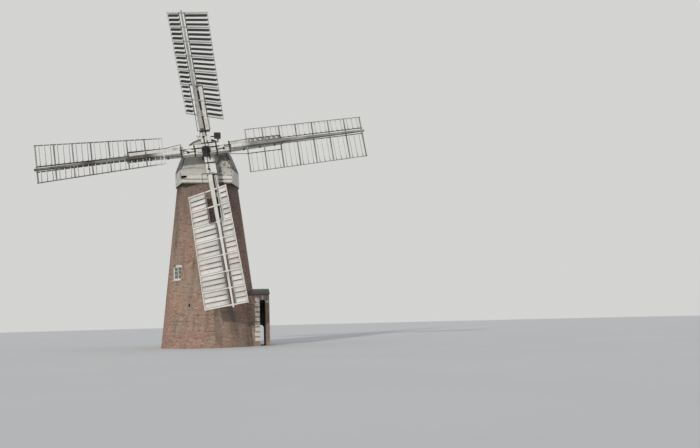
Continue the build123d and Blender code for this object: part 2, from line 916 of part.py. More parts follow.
def make_windshaft():
    """Shaft from the canister back to the tail bearing."""
    back = -canister_length / 2
    neck_end = back - neck_length
    with BuildPart() as shaft:
        with BuildSketch(Plane.XZ):
            with BuildLine():
                Polyline(
                    (0, back), (collar_radius, back), (collar_radius, back - collar_length),
                    (neck_radius, back - collar_length), (neck_radius, neck_end),
                    (tail_radius, neck_end - taper_length), (tail_radius, -shaft_length),
                    (0, -shaft_length), close=True,
                )
            make_face()
        revolve(axis=Axis.Z)
    save(shaft_place().location * shaft.part, "windshaft")


def make_striking_gear():
    """Striking rod out of the shaft's end, and the cross that works the four sails."""
    with BuildPart() as gear:
        rod_start = canister_length / 2 + nose_length
        with BuildSketch(Plane.XY.offset(rod_start)):
            Circle(striking_rod_radius)
        extrude(amount=striking_reach - rod_start)
        with BuildSketch(Plane.XY.offset(striking_reach - spider_back)):
            Circle(spider_hub_radius)
            with PolarLocations(spider_radius / 2, 4, start_angle=90):
                Rectangle(spider_radius, spider_bar)
        extrude(amount=spider_bar)
    save(shaft_place().location * Location((0, 0, 0), (0, 0, turn_angle)) * gear.part, "striking_gear")


# Fantail and its stage
def make_fan_stage():
    """Boarded stage on two bearers across the sheers, under the feet of the fan's frames."""
    with BuildPart() as stage:
        with BuildSketch(Plane.XY.offset(sheer_top)):
            for end in (-1, 1):
                with Locations((0, fan_y + end * leg_foot_gap)):
                    Rectangle(2 * stage_half, bearer_size)
        extrude(amount=bearer_size)
        with BuildSketch(Plane.XY.offset(sheer_top + bearer_size)):
            with Locations((0, (stage_start + sheer_tail) / 2)):
                Rectangle(2 * stage_half, sheer_tail - stage_start)
        extrude(amount=stage_thick)
    save(stage.part, "fan_stage")


def make_fan_posts():
    """Two splayed A-shaped frames, each with a brace, that carry the fan's shaft between them."""
    foot = sheer_top + bearer_size + stage_thick
    brace_share = brace_height / (fan_height - foot)
    brace_y = leg_foot_gap * (1 - brace_share)
    with BuildPart() as posts:
        for side in (-1, 1):
            foot_x = fan_x + side * foot_spread
            top_x = fan_x + side * frame_spread
            for end in (-1, 1):
                with BuildSketch(Plane.XY.offset(foot)):
                    with Locations((foot_x, fan_y + end * leg_foot_gap)):
                        Rectangle(leg_size, leg_size)
                with BuildSketch(Plane.XY.offset(fan_height)):
                    with Locations((top_x, fan_y)):
                        Rectangle(leg_size, leg_size)
                loft()
            with BuildSketch(Plane.XZ.offset(-fan_y - brace_y)):
                with Locations((foot_x + (top_x - foot_x) * brace_share, foot + brace_height)):
                    Rectangle(brace_size, brace_size)
            extrude(amount=2 * brace_y)
            with BuildSketch(Plane.YZ.offset(top_x - leg_size / 2)):
                with Locations((fan_y, fan_axis_height)):
                    Rectangle(2 * leg_size, 2 * leg_size)
            extrude(amount=leg_size)
        with BuildSketch(Plane.YZ.offset(fan_x)):
            with Locations((fan_y, fan_axis_height)):
                Circle(fan_shaft_radius + bearing_gap)
        extrude(amount=2 * frame_spread, both=True, mode=Mode.SUBTRACT)
    save(posts.part, "fan_posts")


def make_fan_case():
    """Gear case on the face of the right frame's bearing block."""
    with BuildPart() as case:
        with BuildSketch(Plane.XZ.offset(leg_size - fan_y)):
            with Locations((fan_x + frame_spread, fan_axis_height)):
                RectangleRounded(fan_case_width, fan_case_height, fan_case_corner)
        extrude(amount=fan_case_length)
        with BuildSketch(Plane.XZ.offset(leg_size - fan_y + fan_case_length)):
            with Locations((fan_x + frame_spread, fan_axis_height)):
                Circle(fan_cap_radius)
        extrude(amount=fan_cap_length)
    save(case.part, "fan_gear_case")


def make_fan():
    axis = Plane(origin=(fan_x, fan_y, fan_axis_height), x_dir=(0, 1, 0), z_dir=(1, 0, 0))
    with BuildPart() as hub:
        with BuildSketch(Plane.XY.offset(-frame_spread - leg_size)):
            Circle(fan_shaft_radius)
        extrude(amount=2 * (frame_spread + leg_size))
        with BuildSketch(Plane.XY.offset(-fan_hub_length / 2)):
            Circle(fan_hub_radius)
        extrude(amount=fan_hub_length)
    save(axis.location * hub.part, "fan_shaft")
    blades = []
    for number in range(fan_blade_count):
        turn = Rot(0, 0, 360 / fan_blade_count * number)
        with BuildPart() as blade:
            arm_start = fan_hub_radius - fan_arm_seat
            with BuildSketch(Plane(origin=(arm_start, 0, 0), x_dir=(0, 0, 1), z_dir=(1, 0, 0))):
                Rectangle(fan_arm_size, fan_arm_size)
            extrude(amount=fan_blade_root - arm_start)
            turned = (0, cos(radians(fan_pitch)), sin(radians(fan_pitch)))
            with BuildSketch(Plane(origin=(fan_blade_root, 0, 0), x_dir=turned, z_dir=(1, 0, 0))):
                Rectangle(fan_blade_width, fan_blade_thick)
            extrude(amount=fan_radius - fan_blade_root)
        blades.append(axis.location * turn * blade.part)
    save(Compound(children=blades), "fan_blades")


make_tower()
make_floor("ground_floor", 0, slab_thick)
make_floor("first_floor", floor_level - floor_thick, floor_thick)
make_windows()
make_door()
make_wheel_hood()
make_ring("curb", tower_height, curb_thick)
make_ring("cap_ring", ring_bottom, ring_thick)
make_cap_frame()
roof_halves = make_roof()
make_gables(roof_halves)
make_petticoat(roof_halves)
make_fan_stage()
make_fan_posts()
make_fan_case()
make_fan()
make_windshaft()
make_canister()
make_stocks()
make_striking_gear()
make_sails()
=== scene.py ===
import json
import random
from math import asin, cos, degrees, pi, radians, sin, sqrt, tan

import bmesh
import bpy
from mathutils import Matrix, Vector
from mathutils.bvhtree import BVHTree


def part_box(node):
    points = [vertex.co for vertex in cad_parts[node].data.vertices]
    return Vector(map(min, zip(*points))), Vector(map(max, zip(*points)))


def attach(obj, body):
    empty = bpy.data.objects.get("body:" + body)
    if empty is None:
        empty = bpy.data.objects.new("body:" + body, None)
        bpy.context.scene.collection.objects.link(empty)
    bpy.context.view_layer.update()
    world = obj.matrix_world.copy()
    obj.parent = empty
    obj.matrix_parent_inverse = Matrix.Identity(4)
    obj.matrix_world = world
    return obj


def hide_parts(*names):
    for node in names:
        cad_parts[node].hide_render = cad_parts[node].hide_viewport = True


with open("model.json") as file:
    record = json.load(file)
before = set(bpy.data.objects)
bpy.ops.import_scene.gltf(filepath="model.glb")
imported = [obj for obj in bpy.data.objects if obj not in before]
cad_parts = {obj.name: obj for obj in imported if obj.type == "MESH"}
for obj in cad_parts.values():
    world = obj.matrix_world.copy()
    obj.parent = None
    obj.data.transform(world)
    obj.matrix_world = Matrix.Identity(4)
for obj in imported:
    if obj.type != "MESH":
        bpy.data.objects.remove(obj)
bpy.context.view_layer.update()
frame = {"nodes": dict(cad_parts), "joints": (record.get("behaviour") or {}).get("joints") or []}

nodes = frame["nodes"]
scene = bpy.context.scene
wayX, wayY, wayZ = Vector((1, 0, 0)), Vector((0, 1, 0)), Vector((0, 0, 1))


# Places, metres and degrees in every dictionary
def framed(origin, x, y, z):
    # the frame with this origin and these axes
    return Matrix.Translation(origin) @ Matrix((x, y, z)).transposed().to_4x4()


def frameOf(origin, along, out):
    # a board's frame from its middle, the way it runs and the way it faces
    along = along.normalized()
    out = (out - along * out.dot(along)).normalized()
    return framed(origin, along, out.cross(along), out)


def moved(x, y, z):
    return Matrix.Translation((x, y, z))


def turned(angle):
    return Matrix.Rotation(angle, 4, "Z")


def evenly(first, last, count):
    # the middles of equal parts between two ends, and the length of a part
    pitch = (last - first) / count
    return [first + (index + 0.5) * pitch for index in range(count)], pitch


def addObject(name, data):
    made = bpy.data.objects.new(name, data)
    scene.collection.objects.link(made)
    return made


# Shader nodes: each is added to the tree that its linked inputs belong to
def setSocket(socket, value):
    # another node's output is linked, and a plain value is set on the socket
    if isinstance(value, bpy.types.NodeSocket):
        socket.id_data.links.new(value, socket)
    else:
        socket.default_value = (*value, 1) if socket.type == "RGBA" else value


def addNode(kind, inputs, **settings):
    tree = next(value for value in inputs.values() if isinstance(value, bpy.types.NodeSocket)).id_data
    node = tree.nodes.new(kind)
    for name, value in settings.items():
        setattr(node, name, value)
    for label, value in inputs.items():
        setSocket(node.inputs[label], value)
    return node.outputs


def noise(vector, scale, detail=3.0, rough=0.55, stretch=None):
    if stretch:
        vector = addNode("ShaderNodeMapping", {"Vector": vector, "Scale": stretch})["Vector"]
    inputs = {"Vector": vector, "Scale": scale, "Detail": detail, "Roughness": rough}
    return addNode("ShaderNodeTexNoise", inputs)["Fac"]


def spread(value, low, high, start=0.0, end=1.0):
    # a value between two limits, turned smoothly into one between start and end
    inputs = {"Value": value, "From Min": low, "From Max": high, "To Min": start, "To Max": end}
    return addNode("ShaderNodeMapRange", inputs, interpolation_type="SMOOTHSTEP")["Result"]


def fade(value, start, end):
    return spread(value, 0, 1, start, end)


def reckon(operation, first, second, clamp=False):
    return addNode("ShaderNodeMath", {0: first, 1: second}, operation=operation, use_clamp=clamp)[0]


def blend(amount, first, second):
    return addNode("ShaderNodeMix", {"Factor": amount, "A": first, "B": second}, data_type="RGBA")["Result"]


def ramp(value, stops):
    colour = addNode("ShaderNodeValToRGB", {"Fac": value})["Color"]
    elements = colour.node.color_ramp.elements
    while len(elements) < len(stops):
        elements.new(0.5)
    for element, (place, tint) in zip(elements, stops):
        element.position = place
        element.color = (*tint, 1)
    return colour


def relief(height, strength, distance):
    return addNode("ShaderNodeBump", {"Height": height, "Strength": strength, "Distance": distance})["Normal"]


def axisOf(placed, name):
    return addNode("ShaderNodeSeparateXYZ", {0: placed})[name]


def dimmed(colour, share):
    return tuple(share * part for part in colour)


def startGroup(name, results, **numbers):
    # a node group that takes a vector and numbers, and the sockets that they come in by
    group = bpy.data.node_groups.new(name, "ShaderNodeTree")
    group.interface.new_socket("Vector", in_out="INPUT", socket_type="NodeSocketVector")
    for label, value in numbers.items():
        group.interface.new_socket(label, in_out="INPUT", socket_type="NodeSocketFloat").default_value = value
    for label in results:
        group.interface.new_socket(label, in_out="OUTPUT", socket_type="NodeSocketFloat")
    start = group.nodes.new("NodeGroupInput")
    return group, *[start.outputs[label] for label in ("Vector", *numbers)]


def endGroup(group, **results):
    end = group.nodes.new("NodeGroupOutput")
    for label, value in results.items():
        setSocket(end.inputs[label], value)
    return group


def useGroup(group, **values):
    return addNode("ShaderNodeGroup", values, node_tree=group)


# Shared effects, each built once
def buildStreaks():
    # rain and soot that run down a wall, heavier where the broad noise says
    group, vector, width, amount = startGroup("rainStreaks", ("Mask",), Width=3.0, Amount=0.5)
    runs = spread(noise(vector, width, 4.0, 0.6, (1.0, 1.0, 0.10)), 0.44, 0.70)
    patches = spread(noise(vector, 0.45, 3.0, 0.6), 0.32, 0.66)
    return endGroup(group, Mask=reckon("MULTIPLY", reckon("MULTIPLY", runs, patches), amount, True))


def buildGrain():
    # long grain and knots of a sawn board, along the first coordinate
    group, vector, scale = startGroup("boardGrain", ("Grain", "Height"), Scale=40.0)
    bands = noise(vector, scale, 5.0, 0.62, (0.05, 1.0, 1.0))
    fine = noise(vector, reckon("MULTIPLY", scale, 5.0), 3.0, 0.6, (0.03, 1.0, 1.0))
    grain = reckon("ADD", reckon("MULTIPLY", bands, 0.7), reckon("MULTIPLY", fine, 0.3))
    return endGroup(group, Grain=grain, Height=spread(grain, 0.34, 0.62))


def buildFlaking():
    # where paint has come off, from broad worn areas down to small flakes
    group, vector, amount, scale = startGroup("paintFlaking", ("Bare",), Amount=0.3, Scale=6.0)
    broad = reckon("MULTIPLY", noise(vector, 0.8, 3.0, 0.6), 0.55)
    flakes = reckon("MULTIPLY", noise(vector, scale, 6.0, 0.7), 0.45)
    limit = fade(amount, 0.70, 0.40)
    return endGroup(group, Bare=spread(reckon("ADD", broad, flakes), limit, reckon("ADD", limit, 0.03)))


def buildSpeckle():
    # small marks that fleck a surface in two sizes
    group, vector, scale = startGroup("speckle", ("Soft", "Sharp"), Scale=20.0)
    soft, sharp = noise(vector, scale, 4.0, 0.6), noise(vector, reckon("MULTIPLY", scale, 4.0), 2.0, 0.5)
    return endGroup(group, Soft=spread(soft, 0.3, 0.7), Sharp=spread(sharp, 0.55, 0.72))


streaks, boardGrain, flaking, speckle = buildStreaks(), buildGrain(), buildFlaking(), buildSpeckle()


# Materials, kept by name
finish = {}


def startMaterial(name):
    # a new material's coordinates, by which the rest of its making knows it
    finish[name] = bpy.data.materials.new(name)
    finish[name].use_nodes = True
    return finish[name].node_tree.nodes.new("ShaderNodeTexCoord").outputs["Object"]


def endMaterial(placed, colour, rough, normal=None, others=None):
    inputs = {"Base Color": colour, "Roughness": rough, **(others or {})}
    if normal:
        inputs["Normal"] = normal
    for label, value in inputs.items():
        setSocket(placed.id_data.nodes["Principled BSDF"].inputs[label], value)


def boardUv(placed):
    node = placed.id_data.nodes.new("ShaderNodeUVMap")
    node.uv_map = "grain"
    return node.outputs["UV"]


def toneOf(placed):
    node = placed.id_data.nodes.new("ShaderNodeAttribute")
    node.attribute_name = "tone"
    return node.outputs["Fac"]


brickLook = {
    "colours": (
        (0.0, (0.095, 0.052, 0.040)), (0.25, (0.205, 0.098, 0.066)), (0.5, (0.275, 0.142, 0.095)),
        (0.75, (0.335, 0.190, 0.130)), (1.0, (0.400, 0.268, 0.190)),
    ),
    "soot": (0.070, 0.058, 0.050), "lime": (0.50, 0.46, 0.40), "lichen": (0.240, 0.215, 0.155),
    "high": (4.5, 9.4, 0.0, 0.42), "runWidth": 2.6, "runs": 0.62,
}


def darkHigh(placed, colour):
    # the tower is darker towards its top, under the cap
    return blend(spread(axisOf(placed, "Z"), *brickLook["high"]), colour, brickLook["soot"])


def makeBrick():
    placed = startMaterial("weathered_brick")
    marks = useGroup(speckle, Vector=placed, Scale=9.0)
    tone = reckon("ADD", toneOf(placed), fade(marks["Soft"], -0.12, 0.12), True)
    broad = spread(noise(placed, 0.55, 4.0, 0.62), 0.40, 0.64, 0.0, 0.42)
    colour = blend(broad, ramp(tone, brickLook["colours"]), brickLook["lichen"])
    runs = useGroup(streaks, Vector=placed, Width=brickLook["runWidth"], Amount=brickLook["runs"])
    colour = darkHigh(placed, blend(runs["Mask"], colour, brickLook["soot"]))
    colour = blend(fade(marks["Sharp"], 0, 0.32), colour, brickLook["lime"])
    grit = useGroup(speckle, Vector=placed, Scale=55.0)
    endMaterial(placed, colour, fade(marks["Soft"], 0.82, 0.96), relief(grit["Soft"], 0.5, 0.004))


gritLooks = {
    "lime_mortar": {
        "scale": 30.0, "tints": ((0.0, (0.30, 0.265, 0.215)), (1.0, (0.46, 0.42, 0.35))), "runWidth": 2.6,
        "runs": 0.75, "soot": (0.085, 0.075, 0.065), "rough": (0.88, 0.98), "relief": (0.6, 0.006),
    },
    "pale_stone": {
        "scale": 16.0, "tints": ((0.0, (0.43, 0.40, 0.34)), (1.0, (0.64, 0.61, 0.54))), "runWidth": 6.0,
        "runs": 0.5, "soot": (0.16, 0.14, 0.12), "rough": (0.80, 0.95), "relief": (0.5, 0.004),
    },
}


def makeGritty(name, high=None):
    # mortar, or the painted brick and stone of the dressings
    look = gritLooks[name]
    placed = startMaterial(name)
    grit = useGroup(speckle, Vector=placed, Scale=look["scale"])
    runs = useGroup(streaks, Vector=placed, Width=look["runWidth"], Amount=look["runs"])
    colour = blend(runs["Mask"], ramp(grit["Soft"], look["tints"]), look["soot"])
    if high:
        colour = high(placed, colour)
    endMaterial(placed, colour, fade(grit["Sharp"], *look["rough"]), relief(grit["Soft"], *look["relief"]))


def wornRight(placed):
    # how worn the gable's paint is: the right half has lost most of it
    return spread(axisOf(placed, "X"), 0.15, 0.75, 0.22, 0.64)


sailEdges = {"left": (-2.2, -3.2), "right": (1.9, 2.6), "upper": (11.9, 12.5)}


def paintedSailShade(dark, upper, left, right):
    # painted shade: the upper, left and right sails' timbers are darkened in mottled patches, each by its own
    # share, and the lower sail keeps its paint
    def shade(placed, colour):
        x, z = axisOf(placed, "X"), axisOf(placed, "Z")
        atRight = spread(x, *sailEdges["right"])
        above = reckon("SUBTRACT", spread(z, *sailEdges["upper"]), atRight, True)
        amount = reckon("MAXIMUM", reckon("MULTIPLY", above, upper),
                        reckon("MULTIPLY", spread(x, *sailEdges["left"]), left))
        amount = reckon("MAXIMUM", amount, reckon("MULTIPLY", atRight, right))
        patchy = spread(noise(placed, 0.9, 3.0), 0.38, 0.56, 0.80, 1.0)
        return blend(reckon("MULTIPLY", amount, patchy), colour, dark)
    return shade


paintRuns = (0.13, 0.115, 0.095)


def makePainted(name, paint, under, wear, dirt, scale=6.0, boards=True, shade=None):
    # old oil paint on timber: grain shows through, flakes are gone, rain has left runs
    placed = startMaterial(name)
    grain = useGroup(boardGrain, Vector=boardUv(placed) if boards else placed, Scale=22.0 if boards else 14.0)
    worn = useGroup(flaking, Vector=placed, Amount=wear(placed) if callable(wear) else wear, Scale=scale)
    runs = useGroup(streaks, Vector=placed, Width=7.0, Amount=dirt)
    tone = toneOf(placed) if boards else noise(placed, 0.9, 2.0)
    colour = blend(fade(tone, 0.0, 0.30), paint, dimmed(paint, 0.62))
    colour = blend(spread(grain["Grain"], 0.40, 0.60, 0.22, 0.0), colour, dimmed(paint, 0.5))
    colour = blend(worn["Bare"], colour, ramp(grain["Grain"], ((0.30, dimmed(under, 0.55)), (0.65, under))))
    colour = blend(runs["Mask"], colour, paintRuns)
    if shade:
        colour = shade(placed, colour)
    height = reckon("ADD", reckon("MULTIPLY", grain["Height"], 0.4), reckon("SUBTRACT", 1.0, worn["Bare"]))
    endMaterial(placed, colour, fade(worn["Bare"], 0.55, 0.86), relief(height, 0.35, 0.003))


bareRuns = (0.06, 0.055, 0.045)


def makeBareWood(name, light, dark, dirt, boards):
    placed = startMaterial(name)
    grain = useGroup(boardGrain, Vector=boardUv(placed) if boards else placed, Scale=20.0)
    colour = ramp(grain["Grain"], ((0.32, dark), (0.66, light)))
    if boards:
        colour = blend(fade(toneOf(placed), 0, 0.4), colour, dimmed(light, 0.6))
    runs = useGroup(streaks, Vector=placed, Width=5.0, Amount=dirt)
    colour = blend(runs["Mask"], colour, bareRuns)
    rough = spread(grain["Grain"], 0.3, 0.7, 0.90, 0.72)
    endMaterial(placed, colour, rough, relief(grain["Height"], 0.45, 0.003))


tar = {"dark": (0.022, 0.020, 0.018), "light": (0.060, 0.054, 0.048), "bare": (0.165, 0.150, 0.130)}


def makeTarred(name, boards=True):
    placed = startMaterial(name)
    grain = useGroup(boardGrain, Vector=boardUv(placed) if boards else placed, Scale=18.0)
    worn = useGroup(flaking, Vector=placed, Amount=0.28, Scale=5.0)
    colour = ramp(grain["Grain"], ((0.3, tar["dark"]), (0.7, tar["light"])))
    colour = blend(worn["Bare"], colour, tar["bare"])
    endMaterial(placed, colour, fade(worn["Bare"], 0.45, 0.85), relief(grain["Height"], 0.5, 0.004))


def makeCanvas(name, clean, worn):
    # painted canvas on shutters: plain weave, faint folds, grey from piece to piece and in flecks
    placed = startMaterial(name)
    uv = boardUv(placed)
    weave, weft = (addNode("ShaderNodeTexWave", {"Vector": uv, "Scale": 90.0}, wave_type="BANDS",
                           bands_direction=axis)["Fac"] for axis in "XY")
    stain = useGroup(speckle, Vector=placed, Scale=2.4)
    colour = blend(fade(toneOf(placed), 0, 0.5), clean, worn)
    for mark in ("Soft", "Sharp"):
        colour = blend(fade(stain[mark], 0.0, 0.3), colour, worn)
    height = reckon("ADD", reckon("MULTIPLY", reckon("MULTIPLY", weave, weft), 0.15), noise(uv, 9.0, 2.0))
    rough = fade(stain["Soft"], 0.68, 0.88)
    endMaterial(placed, colour, rough, relief(height, 0.3, 0.004), {"Sheen Weight": 0.08})


iron = {"rust": ((0.0, (0.060, 0.026, 0.014)), (1.0, (0.165, 0.070, 0.030))), "paint": (0.020, 0.020, 0.021),
        "faded": (0.045, 0.043, 0.040)}


def makeIron():
    placed = startMaterial("painted_iron")
    bare = useGroup(flaking, Vector=placed, Amount=0.42, Scale=9.0)["Bare"]
    grit = useGroup(speckle, Vector=placed, Scale=40.0)["Soft"]
    colour = blend(fade(grit, 0, 0.4), iron["paint"], iron["faded"])
    colour = blend(reckon("MULTIPLY", bare, 0.8), colour, ramp(grit, iron["rust"]))
    metal = {"Metallic": fade(bare, 0.35, 0.0)}
    endMaterial(placed, colour, fade(bare, 0.38, 0.88), relief(grit, 0.35, 0.002), metal)


glass = {"tints": ((0.0, (0.16, 0.18, 0.18)), (1.0, (0.34, 0.36, 0.35))),
         "clear": {"Transmission Weight": 0.6, "IOR": 1.5}}


def makeGlass():
    placed = startMaterial("old_glass")
    grime = useGroup(speckle, Vector=placed, Scale=7.0)["Soft"]
    waves = relief(noise(placed, 5.0, 1.0), 0.2, 0.004)
    endMaterial(placed, ramp(grime, glass["tints"]), fade(grime, 0.05, 0.35), waves, glass["clear"])


floorPlan = {"radius": 170, "sides": 96, "colour": (0.60, 0.595, 0.57)}


def makeFloor():
    placed = startMaterial("pale_floor")
    faint = spread(noise(placed, 0.15, 3.0), 0.3, 0.7)
    colour = blend(faint, floorPlan["colour"], dimmed(floorPlan["colour"], 0.97))
    endMaterial(placed, colour, fade(faint, 0.9, 0.95))


whitePaint, whiteFrame, oldWood = (0.66, 0.645, 0.585), (0.68, 0.665, 0.61), (0.235, 0.205, 0.165)
painted = {
    # paint, timber under it, wear, dirt, size of the flakes, whether on boards, and the painted shade that
    # darkens it
    "white_board": (whitePaint, oldWood, 0.30, 0.30),
    "gable_board": ((0.52, 0.508, 0.46), oldWood, wornRight, 0.22),
    "rail_paint": (whitePaint, oldWood, 0.30, 0.35, 6.0, False),
    # the whips and sail frames carry painted shade on the upper, left and right sails
    "sail_timber": ((0.66, 0.645, 0.59), oldWood, 0.35, 0.35, 8.0, False,
                    paintedSailShade((0.036, 0.033, 0.028), 0.62, 1.0, 0.72)),
    "frame_timber": (whiteFrame, oldWood, 0.30, 0.3, 8.0, False,
                     paintedSailShade((0.070, 0.065, 0.056), 0.25, 0.90, 0.82)),
    "white_timber": ((0.70, 0.685, 0.63), oldWood, 0.40, 0.5, 8.0, False),
    "stock_timber": ((0.62, 0.605, 0.55), oldWood, 0.42, 0.5, 7.0, False),
    "hub_board": (whiteFrame, oldWood, 0.30, 0.3),
    "window_paint": ((0.74, 0.73, 0.68), oldWood, 0.25, 0.3, 14.0),
    "grey_board": ((0.215, 0.215, 0.205), (0.13, 0.115, 0.095), 0.52, 0.6),
    # darker copies of the board paints for the solids behind and between the boards: painted shade where they
    # show through
    "grey_backing_shade": ((0.12, 0.118, 0.11), (0.07, 0.06, 0.05), 0.5, 0.6, 6.0, False),
    "white_backing_shade": ((0.33, 0.32, 0.28), (0.12, 0.105, 0.085), 0.5, 0.7, 6.0, False),
}
bareWoods = {
    # light and dark grain, dirt, and whether it is on boards
    "bare_oak": ((0.30, 0.235, 0.165), (0.12, 0.09, 0.06), 0.4, False),
    "grey_deal": ((0.36, 0.325, 0.27), (0.17, 0.15, 0.12), 0.5, True),
    "plain_deal": ((0.34, 0.30, 0.25), (0.16, 0.14, 0.11), 0.5, False),
}
# clean and worn canvas: the upper sail's is dark as painted shade, and the other three are still pale
canvasLookAndShade = (
    ((0.115, 0.110, 0.098), (0.055, 0.052, 0.045)), ((0.78, 0.77, 0.73), (0.62, 0.61, 0.57)),
    ((0.67, 0.655, 0.61), (0.41, 0.40, 0.36)), ((0.80, 0.79, 0.75), (0.64, 0.63, 0.59)),
)
makeBrick()
makeIron()
makeGlass()
makeFloor()
makeGritty("lime_mortar", darkHigh)
makeGritty("pale_stone")
makeTarred("tarred_board")
makeTarred("tarred_frame", False)
for name, look in painted.items():
    makePainted(name, *look)
for name, look in bareWoods.items():
    makeBareWood(name, *look)
for number, (clean, worn) in enumerate(canvasLookAndShade, 1):
    makeCanvas(f"canvas_cloth_{number}", clean, worn)
    # the upper sail's shutter frames take its dark canvas colour as painted shade
    makePainted(f"shutter_wood_{number}", clean, oldWood, 0.25, 0.3, 14.0)
print("materials made")


# Mesh helpers
square = ((-1, -1), (1, -1), (1, 1), (-1, 1))
boxFaces = ((0, 3, 2, 1), (4, 5, 6, 7), (0, 1, 5, 4), (1, 2, 6, 5), (2, 3, 7, 6), (3, 0, 4, 7))
plainTone = 0.5


def startMesh():
    mesh = bmesh.new()
    mesh.loops.layers.uv.new("grain")
    mesh.faces.layers.float.new("tone")
    return mesh


def startPiece(seed):
    return random.Random(seed), startMesh()


def addFaces(mesh, points, faces, tones=plainTone, uvs=None):
    # tones is one for all faces, or a list with one for each
    uv, toned = mesh.loops.layers.uv["grain"], mesh.faces.layers.float["tone"]
    corners = [mesh.verts.new(point) for point in points]
    for number, face in enumerate(faces):
        made = mesh.faces.new([corners[index] for index in face])
        made[toned] = tones[number] if isinstance(tones, list) else tones
        for loop, index in zip(made.loops, face):
            loop[uv].uv = uvs[index] if uvs else (0, 0)


def addBoard(mesh, luck, place, size, tone=None, inset=0.0, endInset=None):
    # a board in its own frame: x along it, y across, z out of its face, which may be a little smaller
    long, wide, thick = size
    tone = luck.random() if tone is None else tone
    endInset = inset if endInset is None else endInset
    shiftU, shiftV = luck.uniform(0, 40), luck.uniform(0, 40)
    points, uvs = [], []
    for face in (0, 1):
        for x, y in square:
            px, py, z = x * (long / 2 - face * endInset), y * (wide / 2 - face * inset), face * thick
            points.append(place @ Vector((px, py, z)))
            uvs.append((px + shiftU, py + z + shiftV))
    addFaces(mesh, points, boxFaces, tone, uvs)


def ringFaces(rings, sides, closed=False):
    # faces between rings of points, where a closed row of rings also joins the last to the first
    faces = []
    for ring in range(rings if closed else rings - 1):
        low, high = ring * sides, (ring + 1) % rings * sides
        faces += [(low + k, low + (k + 1) % sides, high + (k + 1) % sides, high + k) for k in range(sides)]
    return faces


def addBolt(mesh, place, radius, height, sides=6):
    # a nut or bolt head with a domed end
    rings = ((0.0, radius), (height * 0.75, radius), (height, radius * 0.72))
    points = [place @ Vector((wide * cos(2 * pi * k / sides), wide * sin(2 * pi * k / sides), z))
              for z, wide in rings for k in range(sides)]
    addFaces(mesh, points, [tuple(range(2 * sides, 3 * sides))] + ringFaces(3, sides))


def addRing(mesh, place, radius, thick, turns=16, sides=6):
    points = []
    for angle in (2 * pi * k / turns for k in range(turns)):
        for around in (2 * pi * k / sides for k in range(sides)):
            reach = radius + thick * cos(around)
            points.append(place @ Vector((reach * cos(angle), reach * sin(angle), thick * sin(around))))
    addFaces(mesh, points, ringFaces(turns, sides, True))


def finishPiece(mesh, name, look, body, smooth=False, replaced=None):
    data = bpy.data.meshes.new(name)
    bmesh.ops.recalc_face_normals(mesh, faces=mesh.faces)
    mesh.to_mesh(data)
    mesh.free()
    piece = addObject(name, data)
    data.materials.append(finish[look])
    if smooth:
        data.polygons.foreach_set("use_smooth", [True] * len(data.polygons))
    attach(piece, body)
    if replaced:
        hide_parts(replaced)


def meshTree(*names):
    # one search tree over the meshes of several nodes
    points, faces = [], []
    for name in names:
        start, data = len(points), nodes[name].data
        points += [vertex.co.copy() for vertex in data.vertices]
        faces += [[start + index for index in polygon.vertices] for polygon in data.polygons]
    return BVHTree.FromPolygons(points, faces)


def toneNear(luck, tones, shift=0):
    return min(1, max(0, luck.gauss(*tones) + shift))


# Tower brickwork
wallNames = [f"tower_wall_{number}" for number in range(1, 9)]
wallPoints = [vertex.co for name in wallNames for vertex in nodes[name].data.vertices]
wallTop = max(point.z for point in wallPoints)
footRadius = max(point.xy.length for point in wallPoints if point.z < 0.01)
topRadius = max(point.xy.length for point in wallPoints if point.z > wallTop - 0.01)
batter = (footRadius - topRadius) / wallTop
joint = 0.010
bricks = {
    "course": 0.075, "stretcher": 0.225, "header": 0.108, "proud": 0.009, "arris": 0.003,
    "archRing": 0.215, "archProud": 0.013, "archSunk": 0.01, "seed": 11,
    "tones": (0.52, 0.20), "courseTone": 0.07, "archTones": (0.62, 0.16),
    "crack": ((223.5, 2.02), (229.0, 1.98), (233.5, 1.90), (239.2, 1.87)), "crackReach": 0.55,
}
window = {"azimuths": (219, 39), "width": 0.84, "sill": 3.87, "height": 0.97, "rise": 0.09, "setBack": 0.11,
          "sillThick": 0.07, "frame": 0.06}
door = {"azimuth": 129, "width": 0.86, "sill": 0.15, "height": 1.95, "rise": 0.11, "setBack": 0.14}
vent = {"azimuth": 244.5, "width": 0.12, "sill": 2.35, "height": 0.19}


def wallRadius(height):
    return footRadius - batter * height


def facing(azimuth, distance, height):
    # across the wall: x level along it, y up, z outwards
    out = Vector((cos(radians(azimuth)), sin(radians(azimuth)), 0))
    return framed(out * distance + wayZ * height, Vector((-out.y, out.x, 0)), wayZ, out)


def courses(top, extra=0):
    # the middle and the pitch of each course up to a height, and the length that its bricks take up
    count = int(top / bricks["course"])
    rise, units = top / count, (bricks["stretcher"] + joint, bricks["header"] + joint)
    return [((number + 0.5) * rise, rise, units[number % 2]) for number in range(count + extra)]


def archOf(opening):
    # half width, radius, height of the centre and half angle of an opening's arch
    half, rise = opening["width"] / 2, opening["rise"]
    radius = (half * half + rise * rise) / (2 * rise)
    return half, radius, opening["sill"] + opening["height"] - radius, asin(half / radius)


def archHalf(opening, height):
    # half width of the hole left for an opening and its arch ring at a height, or 0 where there is none
    half, radius, centre, archAngle = archOf(opening)
    top = opening["sill"] + opening["height"]
    outer = radius + bricks["archRing"]
    spring = top - opening["rise"]
    if height < opening["sill"] or height > top + bricks["archRing"]:
        return 0.0
    if height <= spring:
        return half
    if height < centre + outer * cos(archAngle):
        return half + (height - spring) * tan(archAngle)
    return sqrt(max(outer ** 2 - (height - centre) ** 2, 0))


def openingGaps(height):
    holes = [(azimuth, archHalf(window, height)) for azimuth in window["azimuths"]]
    holes.append((door["azimuth"], archHalf(door, height)))
    if vent["sill"] < height < vent["sill"] + vent["height"]:
        holes.append((vent["azimuth"], vent["width"] / 2))
    return [(azimuth, half + joint) for azimuth, half in holes if half]


